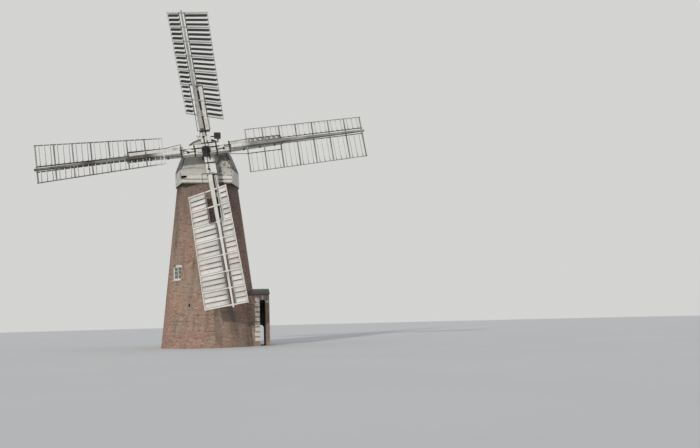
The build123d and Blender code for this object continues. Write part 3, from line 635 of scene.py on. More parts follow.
def nearCrack(angle, height):
    # an old crack that is given by points of azimuth and height
    azimuth = degrees(angle) % 360
    for (first, high), (second, low) in zip(bricks["crack"], bricks["crack"][1:]):
        if first <= azimuth < second:
            line = high + (low - high) * (azimuth - first) / (second - first)
            return abs(line - height) < bricks["crackReach"] * bricks["course"]
    return False


def layBrick(mesh, luck, angle, middle, wide, tall, courseTone):
    out = Vector((cos(angle), sin(angle), 0))
    side = Vector((-out.y, out.x, 0))
    slope = (wayZ - out * batter).normalized()
    origin = out * (wallRadius(middle) - joint) + wayZ * middle
    place = framed(origin, side, slope, side.cross(slope))
    proud = joint + bricks["proud"] + luck.uniform(-0.0025, 0.0015)
    tone = toneNear(luck, bricks["tones"], courseTone)
    points = [place @ Vector((x * (wide / 2 - arris), y * (tall / 2 - arris), z))
              for arris, z in ((0, 0), (bricks["arris"], proud)) for x, y in square]
    # bricks on the crack take the darkest tone: painted shade for the open crack
    addFaces(mesh, points, boxFaces[1:], 0.0 if nearCrack(angle, middle) else tone)


def layTower():
    luck, mesh = startPiece(bricks["seed"])
    for middle, rise, unit in courses(wallTop):
        radius = wallRadius(middle)
        gaps = sorted((radians(azimuth), half / radius) for azimuth, half in openingGaps(middle))
        courseTone = luck.uniform(-bricks["courseTone"], bricks["courseTone"])
        if gaps:
            following = gaps[1:] + [(gaps[0][0] + 2 * pi, gaps[0][1])]
            arcs = [(at + half, after - nextHalf) for (at, half), (after, nextHalf) in zip(gaps, following)]
        else:
            offset = luck.uniform(0, 2 * pi)
            arcs = [(offset, offset + 2 * pi)]
        for start, stop in arcs:
            angles, step = evenly(start, stop, max(1, round((stop - start) * radius / unit)))
            for angle in angles:
                wide = step * radius - joint + luck.uniform(-0.003, 0.003)
                layBrick(mesh, luck, angle, middle, wide, rise - joint, courseTone)
    finishPiece(mesh, "tower_bricks", "weathered_brick", "tower")


def layArch(mesh, luck, opening, azimuth):
    # one ring of bricks on edge over an opening, like a fan
    _, radius, centre, archAngle = archOf(opening)
    angles, step = evenly(-archAngle, archAngle, int(2 * archAngle * radius / bricks["course"]) | 1)
    top = radius + bricks["archRing"] - joint
    inner, outer = ((step * reach - joint) / 2 for reach in (radius, radius + bricks["archRing"]))
    for angle in angles:
        tone = toneNear(luck, bricks["archTones"])
        points = []
        for lift, arris in ((-bricks["archSunk"], 0.0), (bricks["archProud"], bricks["arris"])):
            low, high = radius + arris, top - arris
            wideLow, wideHigh = inner - arris, outer - arris
            for x, y in ((-wideLow, low), (wideLow, low), (wideHigh, high), (-wideHigh, high)):
                across = x * cos(angle) + y * sin(angle)
                up = centre + y * cos(angle) - x * sin(angle)
                out = sqrt(max(wallRadius(up) ** 2 - across * across, 0)) + lift
                points.append(facing(azimuth, out, up) @ Vector((across, 0, 0)))
        addFaces(mesh, points, boxFaces[1:], tone)


def layArches():
    luck, mesh = startPiece(bricks["seed"] + 1)
    for azimuth in window["azimuths"]:
        layArch(mesh, luck, window, azimuth)
    layArch(mesh, luck, door, door["azimuth"])
    finishPiece(mesh, "arch_bricks", "weathered_brick", "tower")


layTower()
layArches()
print("tower laid")


# Wheel hood: brick faces, pale dressings round the slots and a boarded cover
hood = {
    "outer": 3.42, "half": 1.55, "wall": 0.22, "height": 2.95, "slotWidth": 0.34,
    "slotTops": {-1: 2.70, 1: 1.20}, "ring": 0.20, "sunk": 0.01, "tones": (0.50, 0.18), "endCourses": 5,
    "coverRise": 0.38, "coverClear": 0.06,
}
archBrick = {"count": 14, "reach": 0.10, "size": (0.19, 0.052, 0.022), "arris": 0.003, "tones": (0.55, 0.15)}
dressing = {"high": 0.215, "wide": 0.30, "thick": 0.032, "pitch": 0.29, "lift": 0.12, "arris": 0.006,
            "key": (0.13, (0.26, 0.10, 0.045)), "impost": (0.10, (0.20, 0.10, 0.030))}
coverBoards = {"count": 20, "lift": 0.045, "over": 0.05, "gap": 0.005, "thick": 0.02, "arris": 0.002}
slotHalf = hood["slotWidth"] / 2
slotX = hood["outer"] - hood["wall"] - slotHalf


def slotClear(height, side):
    # half width left clear at a height for a slot and the ring of its arch
    spring = hood["slotTops"][side] - slotHalf
    if height < spring:
        return slotHalf
    return sqrt(max((slotHalf + hood["ring"]) ** 2 - (height - spring) ** 2, 0))


def meetTower(y, height):
    return sqrt(max(wallRadius(height) ** 2 - y ** 2, 0))


def archPlace(side, angle, reach):
    # a block in a slot's arch, which runs away from the arch's centre
    way, out = Vector((sin(angle), 0, cos(angle))), wayY * side
    centre = Vector((slotX, side * hood["half"], hood["slotTops"][side] - slotHalf))
    return frameOf(centre + way * (slotHalf + reach) - out * hood["sunk"], way, out)


def fillRow(mesh, luck, start, way, out, length, rise, unit):
    middles, pitch = evenly(0, length, max(1, round(length / unit)))
    for reach in middles:
        proud = joint + bricks["proud"] + luck.uniform(-0.002, 0.0015)
        tone = toneNear(luck, hood["tones"])
        place = frameOf(start + way * reach - out * joint, way, out)
        addBoard(mesh, luck, place, (pitch - joint, rise - joint, proud), tone, bricks["arris"])


def layHood():
    luck, mesh = startPiece(bricks["seed"] + 2)
    for middle, rise, unit in courses(hood["height"], hood["endCourses"]):
        top, half = middle - hood["height"], hood["half"]
        if top >= 0:
            half = half * sqrt(max(1 - (top + hood["coverClear"]) / hood["coverRise"], 0)) - 0.02
        if half > 0.2:
            fillRow(mesh, luck, Vector((hood["outer"], -half, middle)), wayY, wayX, 2 * half, rise, unit)
        if top > 0:
            continue
        start = meetTower(half, middle) - 0.02
        for side in (-1, 1):
            gap = slotClear(middle, side)
            ends = [start, slotX - gap, slotX + gap, hood["outer"]] if gap else [start, hood["outer"]]
            for first, last in zip(ends[::2], ends[1::2]):
                at = Vector((first, side * half, middle))
                fillRow(mesh, luck, at, wayX, wayY * side, last - first, rise, unit)
    for side in (-1, 1):
        for index, angle in enumerate(evenly(-pi / 2, pi / 2, archBrick["count"])[0]):
            # stone takes the place of two bricks at the key and at both ends
            if index // 2 % 3:
                addBoard(mesh, luck, archPlace(side, angle, archBrick["reach"]), archBrick["size"],
                         toneNear(luck, archBrick["tones"]), archBrick["arris"])
    finishPiece(mesh, "hood_bricks", "weathered_brick", "tower")


def layDressings():
    # pale blocks up the jamb on the tower's side of each slot, and the key and imposts of its arch
    luck, mesh = startPiece(bricks["seed"] + 3)
    angles = evenly(-pi / 2, pi / 2, 7)[0]
    for side in (-1, 1):
        out = wayY * side
        high = hood["slotTops"][side] + dressing["lift"]
        while high > dressing["pitch"]:
            wide = dressing["wide"] + luck.uniform(-0.02, 0.02)
            at = Vector((slotX - slotHalf - wide / 2, side * hood["half"], high - dressing["high"] / 2))
            addBoard(mesh, luck, frameOf(at - out * hood["sunk"], wayX, out),
                     (wide, dressing["high"], dressing["thick"]), None, dressing["arris"])
            high -= dressing["pitch"]
        for angle, block in ((angles[0], "impost"), (angles[3], "key"), (angles[6], "impost")):
            reach, size = dressing[block]
            addBoard(mesh, luck, archPlace(side, angle, reach), size, plainTone, dressing["arris"])
    finishPiece(mesh, "hood_dressings", "pale_stone", "tower")


def boardHood():
    luck, mesh = startPiece(bricks["seed"] + 4)
    half, rise = hood["half"], hood["coverRise"]
    radius = (half ** 2 + rise ** 2) / (2 * rise)
    centre = hood["height"] + rise + coverBoards["lift"] - radius
    edge = asin(half / radius)
    angles, step = evenly(-edge, edge, coverBoards["count"])
    for angle in angles:
        out = Vector((0, sin(angle), cos(angle)))
        middle = out * radius + wayZ * centre
        inner = meetTower(middle.y, middle.z) - 0.01
        long = hood["outer"] + coverBoards["over"] - inner
        middle.x = inner + long / 2
        size = (long, step * radius - coverBoards["gap"], coverBoards["thick"] + luck.uniform(0, 0.004))
        addBoard(mesh, luck, frameOf(middle, wayX, out), size, None, coverBoards["arris"])
    finishPiece(mesh, "hood_boards", "tarred_board", "tower")


layHood()
layDressings()
boardHood()


# Windows and door
# wide, thick and chamfer of the bars of a casement
glazing = {"bar": (0.026, 0.036, 0.006), "backing": (0.05, 0.020, 0.004), "cross": (0.026, 0.030, 0.005),
           "edge": (0.028, 0.024, 0.004), "behind": 0.034, "tone": 0.3}
doorBoards = {"leaf": 0.70, "count": 6, "short": 0.10, "lift": 0.015, "gap": 0.005, "thick": 0.018,
              "arris": 0.003}
hinge = {"heights": (0.42, 1.52), "size": (0.56, 0.045, 0.008), "shift": -0.05,
         "bolts": (-0.28, -0.14, 0.0, 0.14), "bolt": (0.011, 0.008)}
latch = {"height": 0.98, "x": 0.26, "size": (0.13, 0.03, 0.012), "ring": (0.038, 0.006)}


def makeGlazing():
    luck, mesh = startPiece(21)
    wide = window["width"] - 2 * window["frame"]
    high = window["height"] - window["sillThick"] - 2 * window["frame"] - window["rise"]
    face = wallRadius(window["sill"] + window["height"] / 2) - window["setBack"] - glazing["behind"]
    foot = window["sill"] + window["sillThick"] + window["frame"]
    edge = glazing["edge"][0]
    # each bar: which, upright or not, and its place on the pane
    bars = [("bar", True, (0, 0, 0)), ("backing", True, (0, 0, 0))]
    bars += [("cross", False, (0, side * high / 6, 0.002)) for side in (-1, 1)]
    for side in (-1, 1):
        bars.append(("edge", True, (side * (wide - edge) / 2, 0, 0.004)))
        bars.append(("edge", False, (0, side * (high - edge) / 2, 0.004)))
    for azimuth in window["azimuths"]:
        pane = facing(azimuth, face, foot + high / 2)
        for name, upright, at in bars:
            across, thick, chamfer = glazing[name]
            place, long = pane @ moved(*at) @ turned(pi / 2 if upright else 0), high if upright else wide
            addBoard(mesh, luck, place, (long, across, thick), glazing["tone"], chamfer, 0)
    finishPiece(mesh, "glazing_bars", "window_paint", "tower")


def boardDoor():
    luck, mesh = startPiece(22)
    face = wallRadius(door["sill"] + door["height"]) - door["setBack"]
    high = door["height"] - door["rise"] - doorBoards["short"]
    middle = facing(door["azimuth"], face, door["sill"] + high / 2 + doorBoards["lift"])
    places, pitch = evenly(-doorBoards["leaf"] / 2, doorBoards["leaf"] / 2, doorBoards["count"])
    for x in places:
        addBoard(mesh, luck, middle @ moved(x, 0, 0) @ turned(pi / 2),
                 (high, pitch - doorBoards["gap"], doorBoards["thick"]), None, doorBoards["arris"])
    finishPiece(mesh, "door_boards", "tarred_board", "tower")
    mesh = startMesh()
    face += doorBoards["thick"]
    for height in hinge["heights"]:
        place = facing(door["azimuth"], face, door["sill"] + height)
        addBoard(mesh, luck, place @ moved(hinge["shift"], 0, 0), hinge["size"], plainTone, 0.002)
        for x in hinge["bolts"]:
            addBolt(mesh, place @ moved(x, 0, hinge["size"][2]), *hinge["bolt"])
    place = facing(door["azimuth"], face, door["sill"] + latch["height"]) @ moved(latch["x"], 0, 0)
    addBoard(mesh, luck, place, latch["size"], plainTone, 0.003)
    addRing(mesh, place @ moved(0, -0.05, 0.014), *latch["ring"])
    finishPiece(mesh, "door_ironwork", "painted_iron", "tower", True)


makeGlazing()
boardDoor()
print("openings made")


# Cap: weatherboards on the gable, boards on the roof and the petticoat
sailJoint = next(joint for joint in frame["joints"] if joint["name"] == "sails_turn")
hubPlace, shaftWay = Vector(sailJoint["pos_m"]), Vector(sailJoint["axis"]).normalized()
tilt = asin(shaftWay.z)
leaning = Vector((0, sin(tilt), cos(tilt)))
gable = {"footY": -1.86, "foot": 9.47, "half": 1.43, "wide": 0.142, "start": 0.455, "hole": 0.25,
         "edge": 0.012, "thin": 0.008, "thick": 0.021, "lap": 0.006, "gap": 0.0015, "jointed": 0.45}
roof = {"wide": 0.165, "eave": 10.3, "middleY": 0.1, "rearY": 2.2, "verge": 0.05, "samples": 15, "from": 90.5,
        "turn": 87.5, "gap": 0.0022, "sunk": 0.002}
petticoat = {"wide": 0.15, "half": 1.838, "frontY": -0.30, "drop": 0.012, "gap": 0.006, "thick": 0.016}
gablePlace = framed((0, gable["footY"], gable["foot"]), wayX, leaning, shaftWay)


def gableOutline():
    # half width of the gable at distances up its face, read from its right edge
    back = gablePlace.inverted()
    shaftUp = (back @ (hubPlace - shaftWay * 0.3)).y
    points = [back @ vertex.co for vertex in nodes["front_gable"].data.vertices]
    hub = Vector((0, shaftUp))
    return sorted((point.y, point.x) for point in points
                  if point.x > 0 and abs(point.z) < 0.003 and (point.xy - hub).length > 0.3), shaftUp


def halfAt(edge, height):
    for (low, wide), (high, narrow) in zip(edge, edge[1:]):
        if low <= height <= high:
            return wide + (narrow - wide) * (height - low) / max(high - low, 1e-6)
    return 0.0


def boardGable():
    luck, mesh = startPiece(31)
    edge, shaftUp = gableOutline()
    top, low = edge[-1][0], gable["start"]
    while low < top - 0.03:
        high = min(low + gable["wide"], top - 0.01)
        wides = [halfAt(edge, height) - gable["edge"] for height in (low, high)]
        hole = sqrt(max(gable["hole"] ** 2 - ((low + high) / 2 - shaftUp) ** 2, 0))
        cuts = [-1.0, 1.0]
        if wides[0] > 0.8 and luck.random() < gable["jointed"] and not hole:
            cuts.insert(1, luck.uniform(-0.7, 0.7) / wides[0])
        stretches = list(zip(cuts, cuts[1:]))
        if hole:
            stretches = [(-1.0, -hole / wides[0]), (hole / wides[0], 1.0)]
        for first, last in stretches:
            tone, offset = luck.random(), luck.uniform(0, 30)
            points, uvs = [], []
            for face in (0, 1):
                for share, end in ((first, 0), (last, 0), (last, 1), (first, 1)):
                    x = share * wides[end] + (gable["gap"] if share == first else -gable["gap"])
                    y = high if end else low - gable["lap"] * face
                    thick = (gable["thin"] if end else gable["thick"]) * face
                    points.append(gablePlace @ Vector((x, y, thick)))
                    uvs.append((x + offset, y + thick))
            addFaces(mesh, points, boxFaces, tone, uvs)
        low = high
    finishPiece(mesh, "gable_boards", "gable_board", "cap")


def roofStations():
    # front station on the raked gable, then upright ones: a point at the eaves and a way up for each
    front = (gablePlace @ Vector((0, (roof["eave"] - gable["foot"]) / cos(tilt), roof["verge"]))).y
    length = roof["rearY"] - front
    count = int(length / roof["wide"])
    stations = []
    for index in range(count + 1):
        y = front + (length - 0.012) * index / count + 0.006
        lean = tilt * (1 - min(1, (y - front) / (roof["middleY"] - front)))
        stations.append((Vector((0, y, roof["eave"])), Vector((0, sin(lean), cos(lean)))))
    return stations


def boardRoof():
    luck, mesh = startPiece(32)
    shell = meshTree("roof_left", "roof_right")
    stations = roofStations()
    for pair in zip(stations, stations[1:]):
        for side in (-1, 1):
            tone, lift, shift = luck.random(), luck.uniform(0.012, 0.019), luck.uniform(0, 30)
            rows, travelled, before = [], 0.0, None
            for index in range(roof["samples"] + 1):
                angle = side * radians(roof["from"] - roof["turn"] * index / roof["samples"])
                row = []
                for (at, up), inset in zip(pair, (roof["gap"], -roof["gap"])):
                    way = wayX * sin(angle) + up * cos(angle)
                    start = at + wayY * inset + up * 0.012
                    hit = shell.ray_cast(start + way * 6, -way)[0] or start + way * 1.5
                    row.append((hit, way))
                middle = (row[0][0] + row[1][0]) / 2
                travelled += (middle - before).length if before else 0
                before = middle
                rows.append((row, travelled))
            addStrip(mesh, rows, lift, tone, shift)
    finishPiece(mesh, "roof_boards", "grey_board", "cap")


def addStrip(mesh, rows, lift, tone, shift):
    # a bent board: outer face, both edges and both ends
    points, uvs = [], []
    for row, travelled in rows:
        for height in (0.0, lift):
            for index, (hit, way) in enumerate(row):
                points.append(hit + way * (height - roof["sunk"]))
                uvs.append((travelled + shift, index * 0.16 + height))
    last = 4 * (len(rows) - 1)
    faces = [(0, 1, 3, 2), (last, last + 2, last + 3, last + 1)]
    for a in range(0, last, 4):
        faces += [(a + 2, a + 3, a + 7, a + 6), (a, a + 2, a + 6, a + 4), (a + 3, a + 1, a + 5, a + 7)]
    addFaces(mesh, points, faces, tone, uvs)


def boardPetticoat():
    luck, mesh = startPiece(33)
    half, frontY, side = petticoat["half"], petticoat["frontY"], gable["half"]
    route = [(side, gable["footY"]), (half, frontY), (half, 0)]
    route += [(half * cos(radians(angle)), half * sin(radians(angle))) for angle in range(3, 180, 3)]
    route += [(-half, 0), (-half, frontY), (-side, gable["footY"])]
    route = [Vector((x, y, 0)) for x, y in route]
    total = sum((b - a).length for a, b in zip(route, route[1:]))
    count = round(total / petticoat["wide"])

    def pointAt(distance):
        for a, b in zip(route, route[1:]):
            length = (b - a).length
            if distance <= length:
                return a.lerp(b, distance / length)
            distance -= length
        return route[-1]

    for index in range(count):
        first, last = pointAt(index * total / count), pointAt((index + 1) * total / count)
        along = (last - first).normalized()
        low = gable["foot"] - luck.uniform(0, 0.010)
        tall = roof["eave"] - petticoat["drop"] - low
        place = frameOf((first + last) / 2 + wayZ * (low + tall / 2), wayZ, Vector((along.y, -along.x, 0)))
        size = (tall, (last - first).length - petticoat["gap"], petticoat["thick"] + luck.uniform(0, 0.005))
        addBoard(mesh, luck, place, size, None, 0.002)
    geometry = list(mesh.verts) + list(mesh.edges) + list(mesh.faces)
    sliced = bmesh.ops.bisect_plane(mesh, geom=geometry, plane_co=gablePlace.translation, plane_no=shaftWay,
                                    clear_outer=True)
    edges = [item for item in sliced["geom_cut"] if isinstance(item, bmesh.types.BMEdge)]
    bmesh.ops.holes_fill(mesh, edges=edges)
    finishPiece(mesh, "petticoat_boards", "white_board", "cap")


rearBoards = {"wide": 0.15, "gap": 0.005, "thick": 0.016, "least": 0.3}


def boardRearGable():
    luck, mesh = startPiece(34)
    low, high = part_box("rear_gable")
    points = [vertex.co for vertex in nodes["rear_gable"].data.vertices]
    edge = [(point.z, point.x) for point in points if point.x > 0 and point.y > high.y - 0.002]
    x = low.x + 0.01
    while x < high.x - 0.03:
        last = min(x + rearBoards["wide"], high.x - 0.01)
        reach = max(abs(x), abs(last))
        top = max((z for z, half in edge if half >= reach), default=low.z + rearBoards["least"])
        top = min(top, high.z - 0.02)
        middle = Vector(((x + last) / 2, high.y, (low.z + top) / 2))
        size = (top - low.z, last - x - rearBoards["gap"], rearBoards["thick"])
        addBoard(mesh, luck, frameOf(middle, wayZ, wayY), size, None, 0.002)
        x = last
    finishPiece(mesh, "rear_gable_boards", "white_board", "cap")


planks = {"wide": 0.17, "gap": 0.008, "thick": 0.014}


def plankStage():
    luck, mesh = startPiece(41)
    low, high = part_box("fan_stage")
    places, step = evenly(low.y, high.y, round((high.y - low.y) / planks["wide"]))
    for y in places:
        size = (high.x - low.x - luck.uniform(0, 0.03), step - planks["gap"], planks["thick"])
        middle = Vector(((low.x + high.x) / 2, y, high.z))
        addBoard(mesh, luck, frameOf(middle, wayX, wayZ), size, None, 0.002)
    finishPiece(mesh, "stage_planks", "grey_deal", "cap")


boardGable()
boardRoof()
boardPetticoat()
boardRearGable()
plankStage()
print("cap boarded")


# Sails, drawn upright as the solids are: x to the right, y out from the hub, z to the front
sail = {
    "turn": 8.2, "heel": 2.35, "tip": 9.15, "bays": 7, "perBay": 3, "barWide": 0.07, "lead": 0.84,
    "trail": 1.55, "heelWeather": 28, "tipWeather": 7, "leadInner": 0.31, "trailInner": 0.50, "innerBays": 2,
    "uplong": 0.165, "rail": 0.038, "stock": 0.30, "stockGap": 0.02, "whipBack": 0.14,
}
shutter = {
    "open": (98, 90, 18, 90), "slack": 2.2, "chord": 0.285, "thick": 0.018, "endGap": 0.020, "stile": 0.026,
    "end": 0.036, "chamfer": 0.002, "belly": 0.006, "cloth": 0.003, "columns": 5, "lines": 4,
    "clothEnd": 0.006, "clothSide": 0.005, "pin": 0.020, "pinLong": 0.016, "pinIn": 0.012, "crank": 0.085,
    "crankGap": 0.008, "rodLift": 0.0385, "crankThick": 0.008, "crankWide": 0.026,
    "stud": (0.010, 0.014, 0.014),
}
shaftPlace = framed(hubPlace, wayX, leaning, shaftWay)


def armPlace(quarter):
    # on the shaft's axis at the hub, turned to one of the four arms
    return shaftPlace @ turned(radians(sail["turn"] + 90 * quarter))


def stockFront(quarter):
    # an arm's front face, before the hub's middle
    return (1 if quarter % 2 else -1) * (sail["stock"] + sail["stockGap"]) / 2 + sail["stock"] / 2


def sailPlace(number):
    return armPlace(number) @ moved(0, 0, stockFront(number) + sail["whipBack"])


def weather(share):
    # the way across a sail, which twists from heel to tip
    heel, tip = radians(sail["heelWeather"]), radians(sail["tipWeather"])
    x, z = (way(heel) + (way(tip) - way(heel)) * share for way in (cos, sin))
    return Vector((-x, 0, z))


def sailPoint(share, setOff):
    return wayY * (sail["heel"] + (sail["tip"] - sail["heel"]) * share) + weather(share) * setOff


def innerOf(share, side):
    # the uplongs stand further out in the inner bays
    if share < sail["innerBays"] / sail["bays"]:
        return sail["leadInner"] if side > 0 else sail["trailInner"]
    return sail["uplong"]


def shutterShares():
    # places of the shutters, evenly between one sail bar and the next
    length = sail["tip"] - sail["heel"]
    bay = length / sail["bays"]
    return [(bay * number + row) / length for number in range(sail["bays"])
            for row in evenly(sail["barWide"] / 2, bay - sail["barWide"] / 2, sail["perBay"])[0]]


def sheetFaces():
    # the two sides of a shutter's cloth and the rim between them
    columns, lines = shutter["columns"], shutter["lines"]
    size = columns * lines
    rim = [i * lines for i in range(columns)] + [size - lines + j for j in range(1, lines)]
    rim += [i * lines + lines - 1 for i in range(columns - 2, -1, -1)] + list(range(lines - 2, 0, -1))
    faces = [(a, a + 1, a + lines + 1, a + lines) for sheet in (0, size)
             for i in range(columns - 1) for a in range(sheet + i * lines, sheet + i * lines + lines - 1)]
    return faces + [(r, after, size + after, size + r) for r, after in zip(rim, rim[1:] + rim[:1])]


def makeShutter(mesh, cloth, cranks, place, start, end, side, opened, luck):
    # one shutter: a light frame with canvas on it, its pins, and the crank at its inner end
    length = (end - start).length
    along = (end - start).normalized()
    radiusWay = (wayY - along * along.y).normalized()
    front = radiusWay.cross(along).normalized() * side
    swing = radians(opened + luck.uniform(-shutter["slack"], shutter["slack"]))
    chord = radiusWay * cos(swing) + front * sin(swing)
    out = along.cross(chord)
    low = sail["rail"] / 2 + shutter["endGap"]
    long, wide, thick = length - 2 * low, shutter["chord"], shutter["thick"]
    stile, rail = shutter["stile"], shutter["end"]
    tone = luck.random()

    def addBar(a, c, way, size):
        at = start + along * a + chord * c - out * (thick / 2)
        addBoard(mesh, luck, place @ frameOf(at, way, out), (*size, thick), tone, shutter["chamfer"], 0)

    for c in ((stile - wide) / 2, (wide - stile) / 2):
        addBar(length / 2, c, along, (long, stile))
    gaps = 1 if length < 1 else 2
    for index in range(gaps + 1):
        addBar(low + rail / 2 + (long - rail) * index / gaps, 0, chord, (wide - 2 * stile, rail))
    base, columns, lines = len(cloth["points"]), shutter["columns"], shutter["lines"]
    for lift in (shutter["cloth"], 0):
        for s, t in ((i / (columns - 1), j / (lines - 1)) for i in range(columns) for j in range(lines)):
            a = low + shutter["clothEnd"] + (long - 2 * shutter["clothEnd"]) * s
            c = shutter["clothSide"] - wide / 2 + (wide - 2 * shutter["clothSide"]) * t
            z = thick / 2 + 0.001 - shutter["belly"] * sin(pi * s) * sin(pi * t) + lift
            cloth["points"].append(place @ (start + along * a + chord * c + out * z))
            cloth["uvs"].append((s * long + tone * 9, t * wide))
    cloth["faces"] += [tuple(base + index for index in face) for face in clothFaces]
    cloth["tones"] += [tone] * len(clothFaces)
    pinAt = sail["rail"] / 2 + shutter["pinIn"]
    for a in (pinAt, length - pinAt):
        local = frameOf(start + along * a - out * (shutter["pin"] / 2), along, out)
        addBoard(cranks, luck, place @ local, (shutter["pinLong"], shutter["pin"], shutter["pin"]), plainTone)
    reach, lift = shutter["crank"], shutter["rodLift"]
    crankWay = (radiusWay * sqrt(reach ** 2 - lift ** 2) + front * lift).normalized()
    crankAt = start + along * (sail["rail"] / 2 + shutter["crankGap"])
    local = frameOf(crankAt + crankWay * reach / 2, crankWay, along)
    size = (reach + shutter["crankWide"] * 0.7, shutter["crankWide"], shutter["crankThick"])
    addBoard(cranks, luck, place @ local, size, plainTone, 0.003, 0.004)
    local = frameOf(crankAt + crankWay * (reach - shutter["stud"][1] / 2) - along * 0.005, along, crankWay)
    addBoard(cranks, luck, place @ local, shutter["stud"], plainTone)


def makeShutters():
    luck = random.Random(51)
    for number in range(4):
        place = sailPlace(number)
        mesh, canvas, cranks = startMesh(), startMesh(), startMesh()
        cloth = {"points": [], "faces": [], "tones": [], "uvs": []}
        for side, outer in ((1, sail["lead"]), (-1, sail["trail"])):
            for share in shutterShares():
                start, end = (sailPoint(share, side * setOff) for setOff in (innerOf(share, side), outer))
                makeShutter(mesh, cloth, cranks, place, start, end, side, shutter["open"][number], luck)
        addFaces(canvas, *cloth.values())
        row = number + 1
        hidden = f"shutters_{row}"
        finishPiece(canvas, f"canvas_{row}", f"canvas_cloth_{row}", "sails", True, hidden)
        finishPiece(mesh, f"shutter_frames_{row}", f"shutter_wood_{row}", "sails")
        finishPiece(cranks, f"shutter_cranks_{row}", "painted_iron", "sails")


clothFaces = sheetFaces()
makeShutters()
print("shutters hung")


# Boards, packing, straps and bolts that bind the sails' timbers
strap = {"places": (0.62, 1.36, 2.15, 3.1, 3.95), "wide": 0.075, "thick": 0.012, "clampSide": 0.217,
         "clampWide": 0.200, "clampTaper": 0.03, "tip": 4.42, "straight": 0.62, "tipSize": 0.19,
         "slack": 0.004, "whipFrom": 1.4, "boltIn": 0.07, "bolt": (0.021, 0.022), "chamfer": 0.002}
hubBoard = {"from": 0.43, "to": 1.33, "thick": 0.022, "inset": 0.006, "chamfer": 0.004, "tones": 0.3}
packing = {"from": 0.43, "to": 4.36, "deep": 0.10, "setBack": 0.03, "tone": 0.3}
barBolt = {"lift": 0.0275, "size": (0.013, 0.010)}


def taperAt(reach):
    return max(0, (reach - strap["straight"]) / (strap["tip"] - strap["straight"]))


def stockSizeAt(reach):
    return sail["stock"] + (strap["tipSize"] - sail["stock"]) * taperAt(reach)


def makeHubBoards():
    # white boards on the front of each stock and its clamp, from the canister to the whip's root, in one wide
    # board on the lower arm and in two on the others
    luck, mesh = startPiece(62)
    long, inset = hubBoard["to"] - hubBoard["from"], hubBoard["inset"]
    left, right = -sail["stock"] / 2, strap["clampSide"] + strap["clampWide"]
    for pair, way in ((0, 1), (0, -1), (1, 1), (1, -1)):
        boards = [(left + inset, -left - inset), (strap["clampSide"] + inset, right - inset)]
        if (pair, way) == (0, -1):
            boards = [(left, right)]
        for first, last in boards:
            # the clamp lies on the same side of both ends of its stock
            middle = Vector(((first + last) / 2, way * (hubBoard["from"] + long / 2), stockFront(pair)))
            place = armPlace(pair) @ frameOf(middle, wayY, wayZ)
            size, tone = (long, last - first, hubBoard["thick"]), luck.random() * hubBoard["tones"]
            addBoard(mesh, luck, place, size, tone, hubBoard["chamfer"])
    finishPiece(mesh, "hub_boards", "hub_board", "sails")


def packClamps():
    # dark tarred packing in the joint between each stock and its clamp, tapered as the stock is: its dark is
    # painted shade for the joint
    mesh = startMesh()
    for pair, end in ((0, -1), (0, 1), (1, -1), (1, 1)):
        front = stockFront(pair) - packing["setBack"]
        points = []
        for z in (front - packing["deep"], front):
            for reach, side in (("from", 0), ("from", 1), ("to", 1), ("to", 0)):
                half = stockSizeAt(packing[reach]) / 2
                x, y = strap["clampSide"] if side else half, end * packing[reach]
                points.append(armPlace(pair) @ Vector((x, y, z - sail["stock"] / 2 + half)))
        addFaces(mesh, points, boxFaces, packing["tone"], [(point.x, point.z) for point in points])
    finishPiece(mesh, "clamp_packing", "tarred_board", "sails")


def makeStraps():
    luck, mesh = startPiece(61)
    wide, thick, slack = strap["wide"], strap["thick"], strap["slack"]
    for pair, end in ((0, -1), (0, 1), (1, -1), (1, 1)):
        front, arm = stockFront(pair), armPlace(pair)
        for reach in strap["places"]:
            y, deep = end * reach, stockSizeAt(reach) + 2 * slack
            left = -deep / 2
            right = strap["clampSide"] + strap["clampWide"] - strap["clampTaper"] * taperAt(reach) + slack
            # under the whip a strap goes round the back and sides only
            sides = [] if reach > strap["whipFrom"] else [(front + hubBoard["thick"], 1)]
            long, boltIn = right - left + 2 * thick, strap["boltIn"]
            for z, way in sides + [(front - deep, -1)]:
                place = arm @ frameOf(Vector(((left + right) / 2, y, z)), wayX, wayZ * way)
                addBoard(mesh, luck, place, (long, wide, thick), plainTone, strap["chamfer"])
                for x in (left + boltIn, (left + right) / 2, right - boltIn):
                    head = frameOf(Vector((x, y, z + way * thick)), wayX, wayZ * way)
                    addBolt(mesh, arm @ head, *strap["bolt"])
            for x, way in ((left, -1), (right, 1)):
                place = arm @ frameOf(Vector((x, y, front - deep / 2)), wayZ, wayX * way)
                addBoard(mesh, luck, place, (deep, wide, thick), plainTone, strap["chamfer"])
    finishPiece(mesh, "sail_straps", "painted_iron", "sails")


def makeBarBolts():
    # a bolt head where each sail bar crosses an uplong or a rail
    mesh = startMesh()
    for number in range(4):
        for share in (bar / sail["bays"] for bar in range(sail["bays"] + 1)):
            across = weather(share).normalized()
            out = Vector((across.z, 0, -across.x))
            for setOff in (-sail["trail"], -innerOf(share, -1), innerOf(share, 1), sail["lead"]):
                head = frameOf(sailPoint(share, setOff) + out * barBolt["lift"], wayY, out)
                addBolt(mesh, sailPlace(number) @ head, *barBolt["size"])
    finishPiece(mesh, "bar_bolts", "painted_iron", "sails")


makeStraps()
makeHubBoards()
packClamps()
makeBarBolts()
print("sails bound")


# Canister: flanges round the mortises, and bolts and rings of the nose
canister = {"size": 0.41, "length": 0.90, "noseLong": 0.11, "flange": (0.31, 0.04, 0.022), "flangeIn": 0.02,
            "flangeChamfer": 0.005, "bolts": 8, "boltCircle": 0.14, "bolt": (0.018, 0.02),
            "noseRing": (0.172, 0.012, 28, 8), "mouthRing": (0.19, 0.014, 28, 8), "mouth": 0.012}


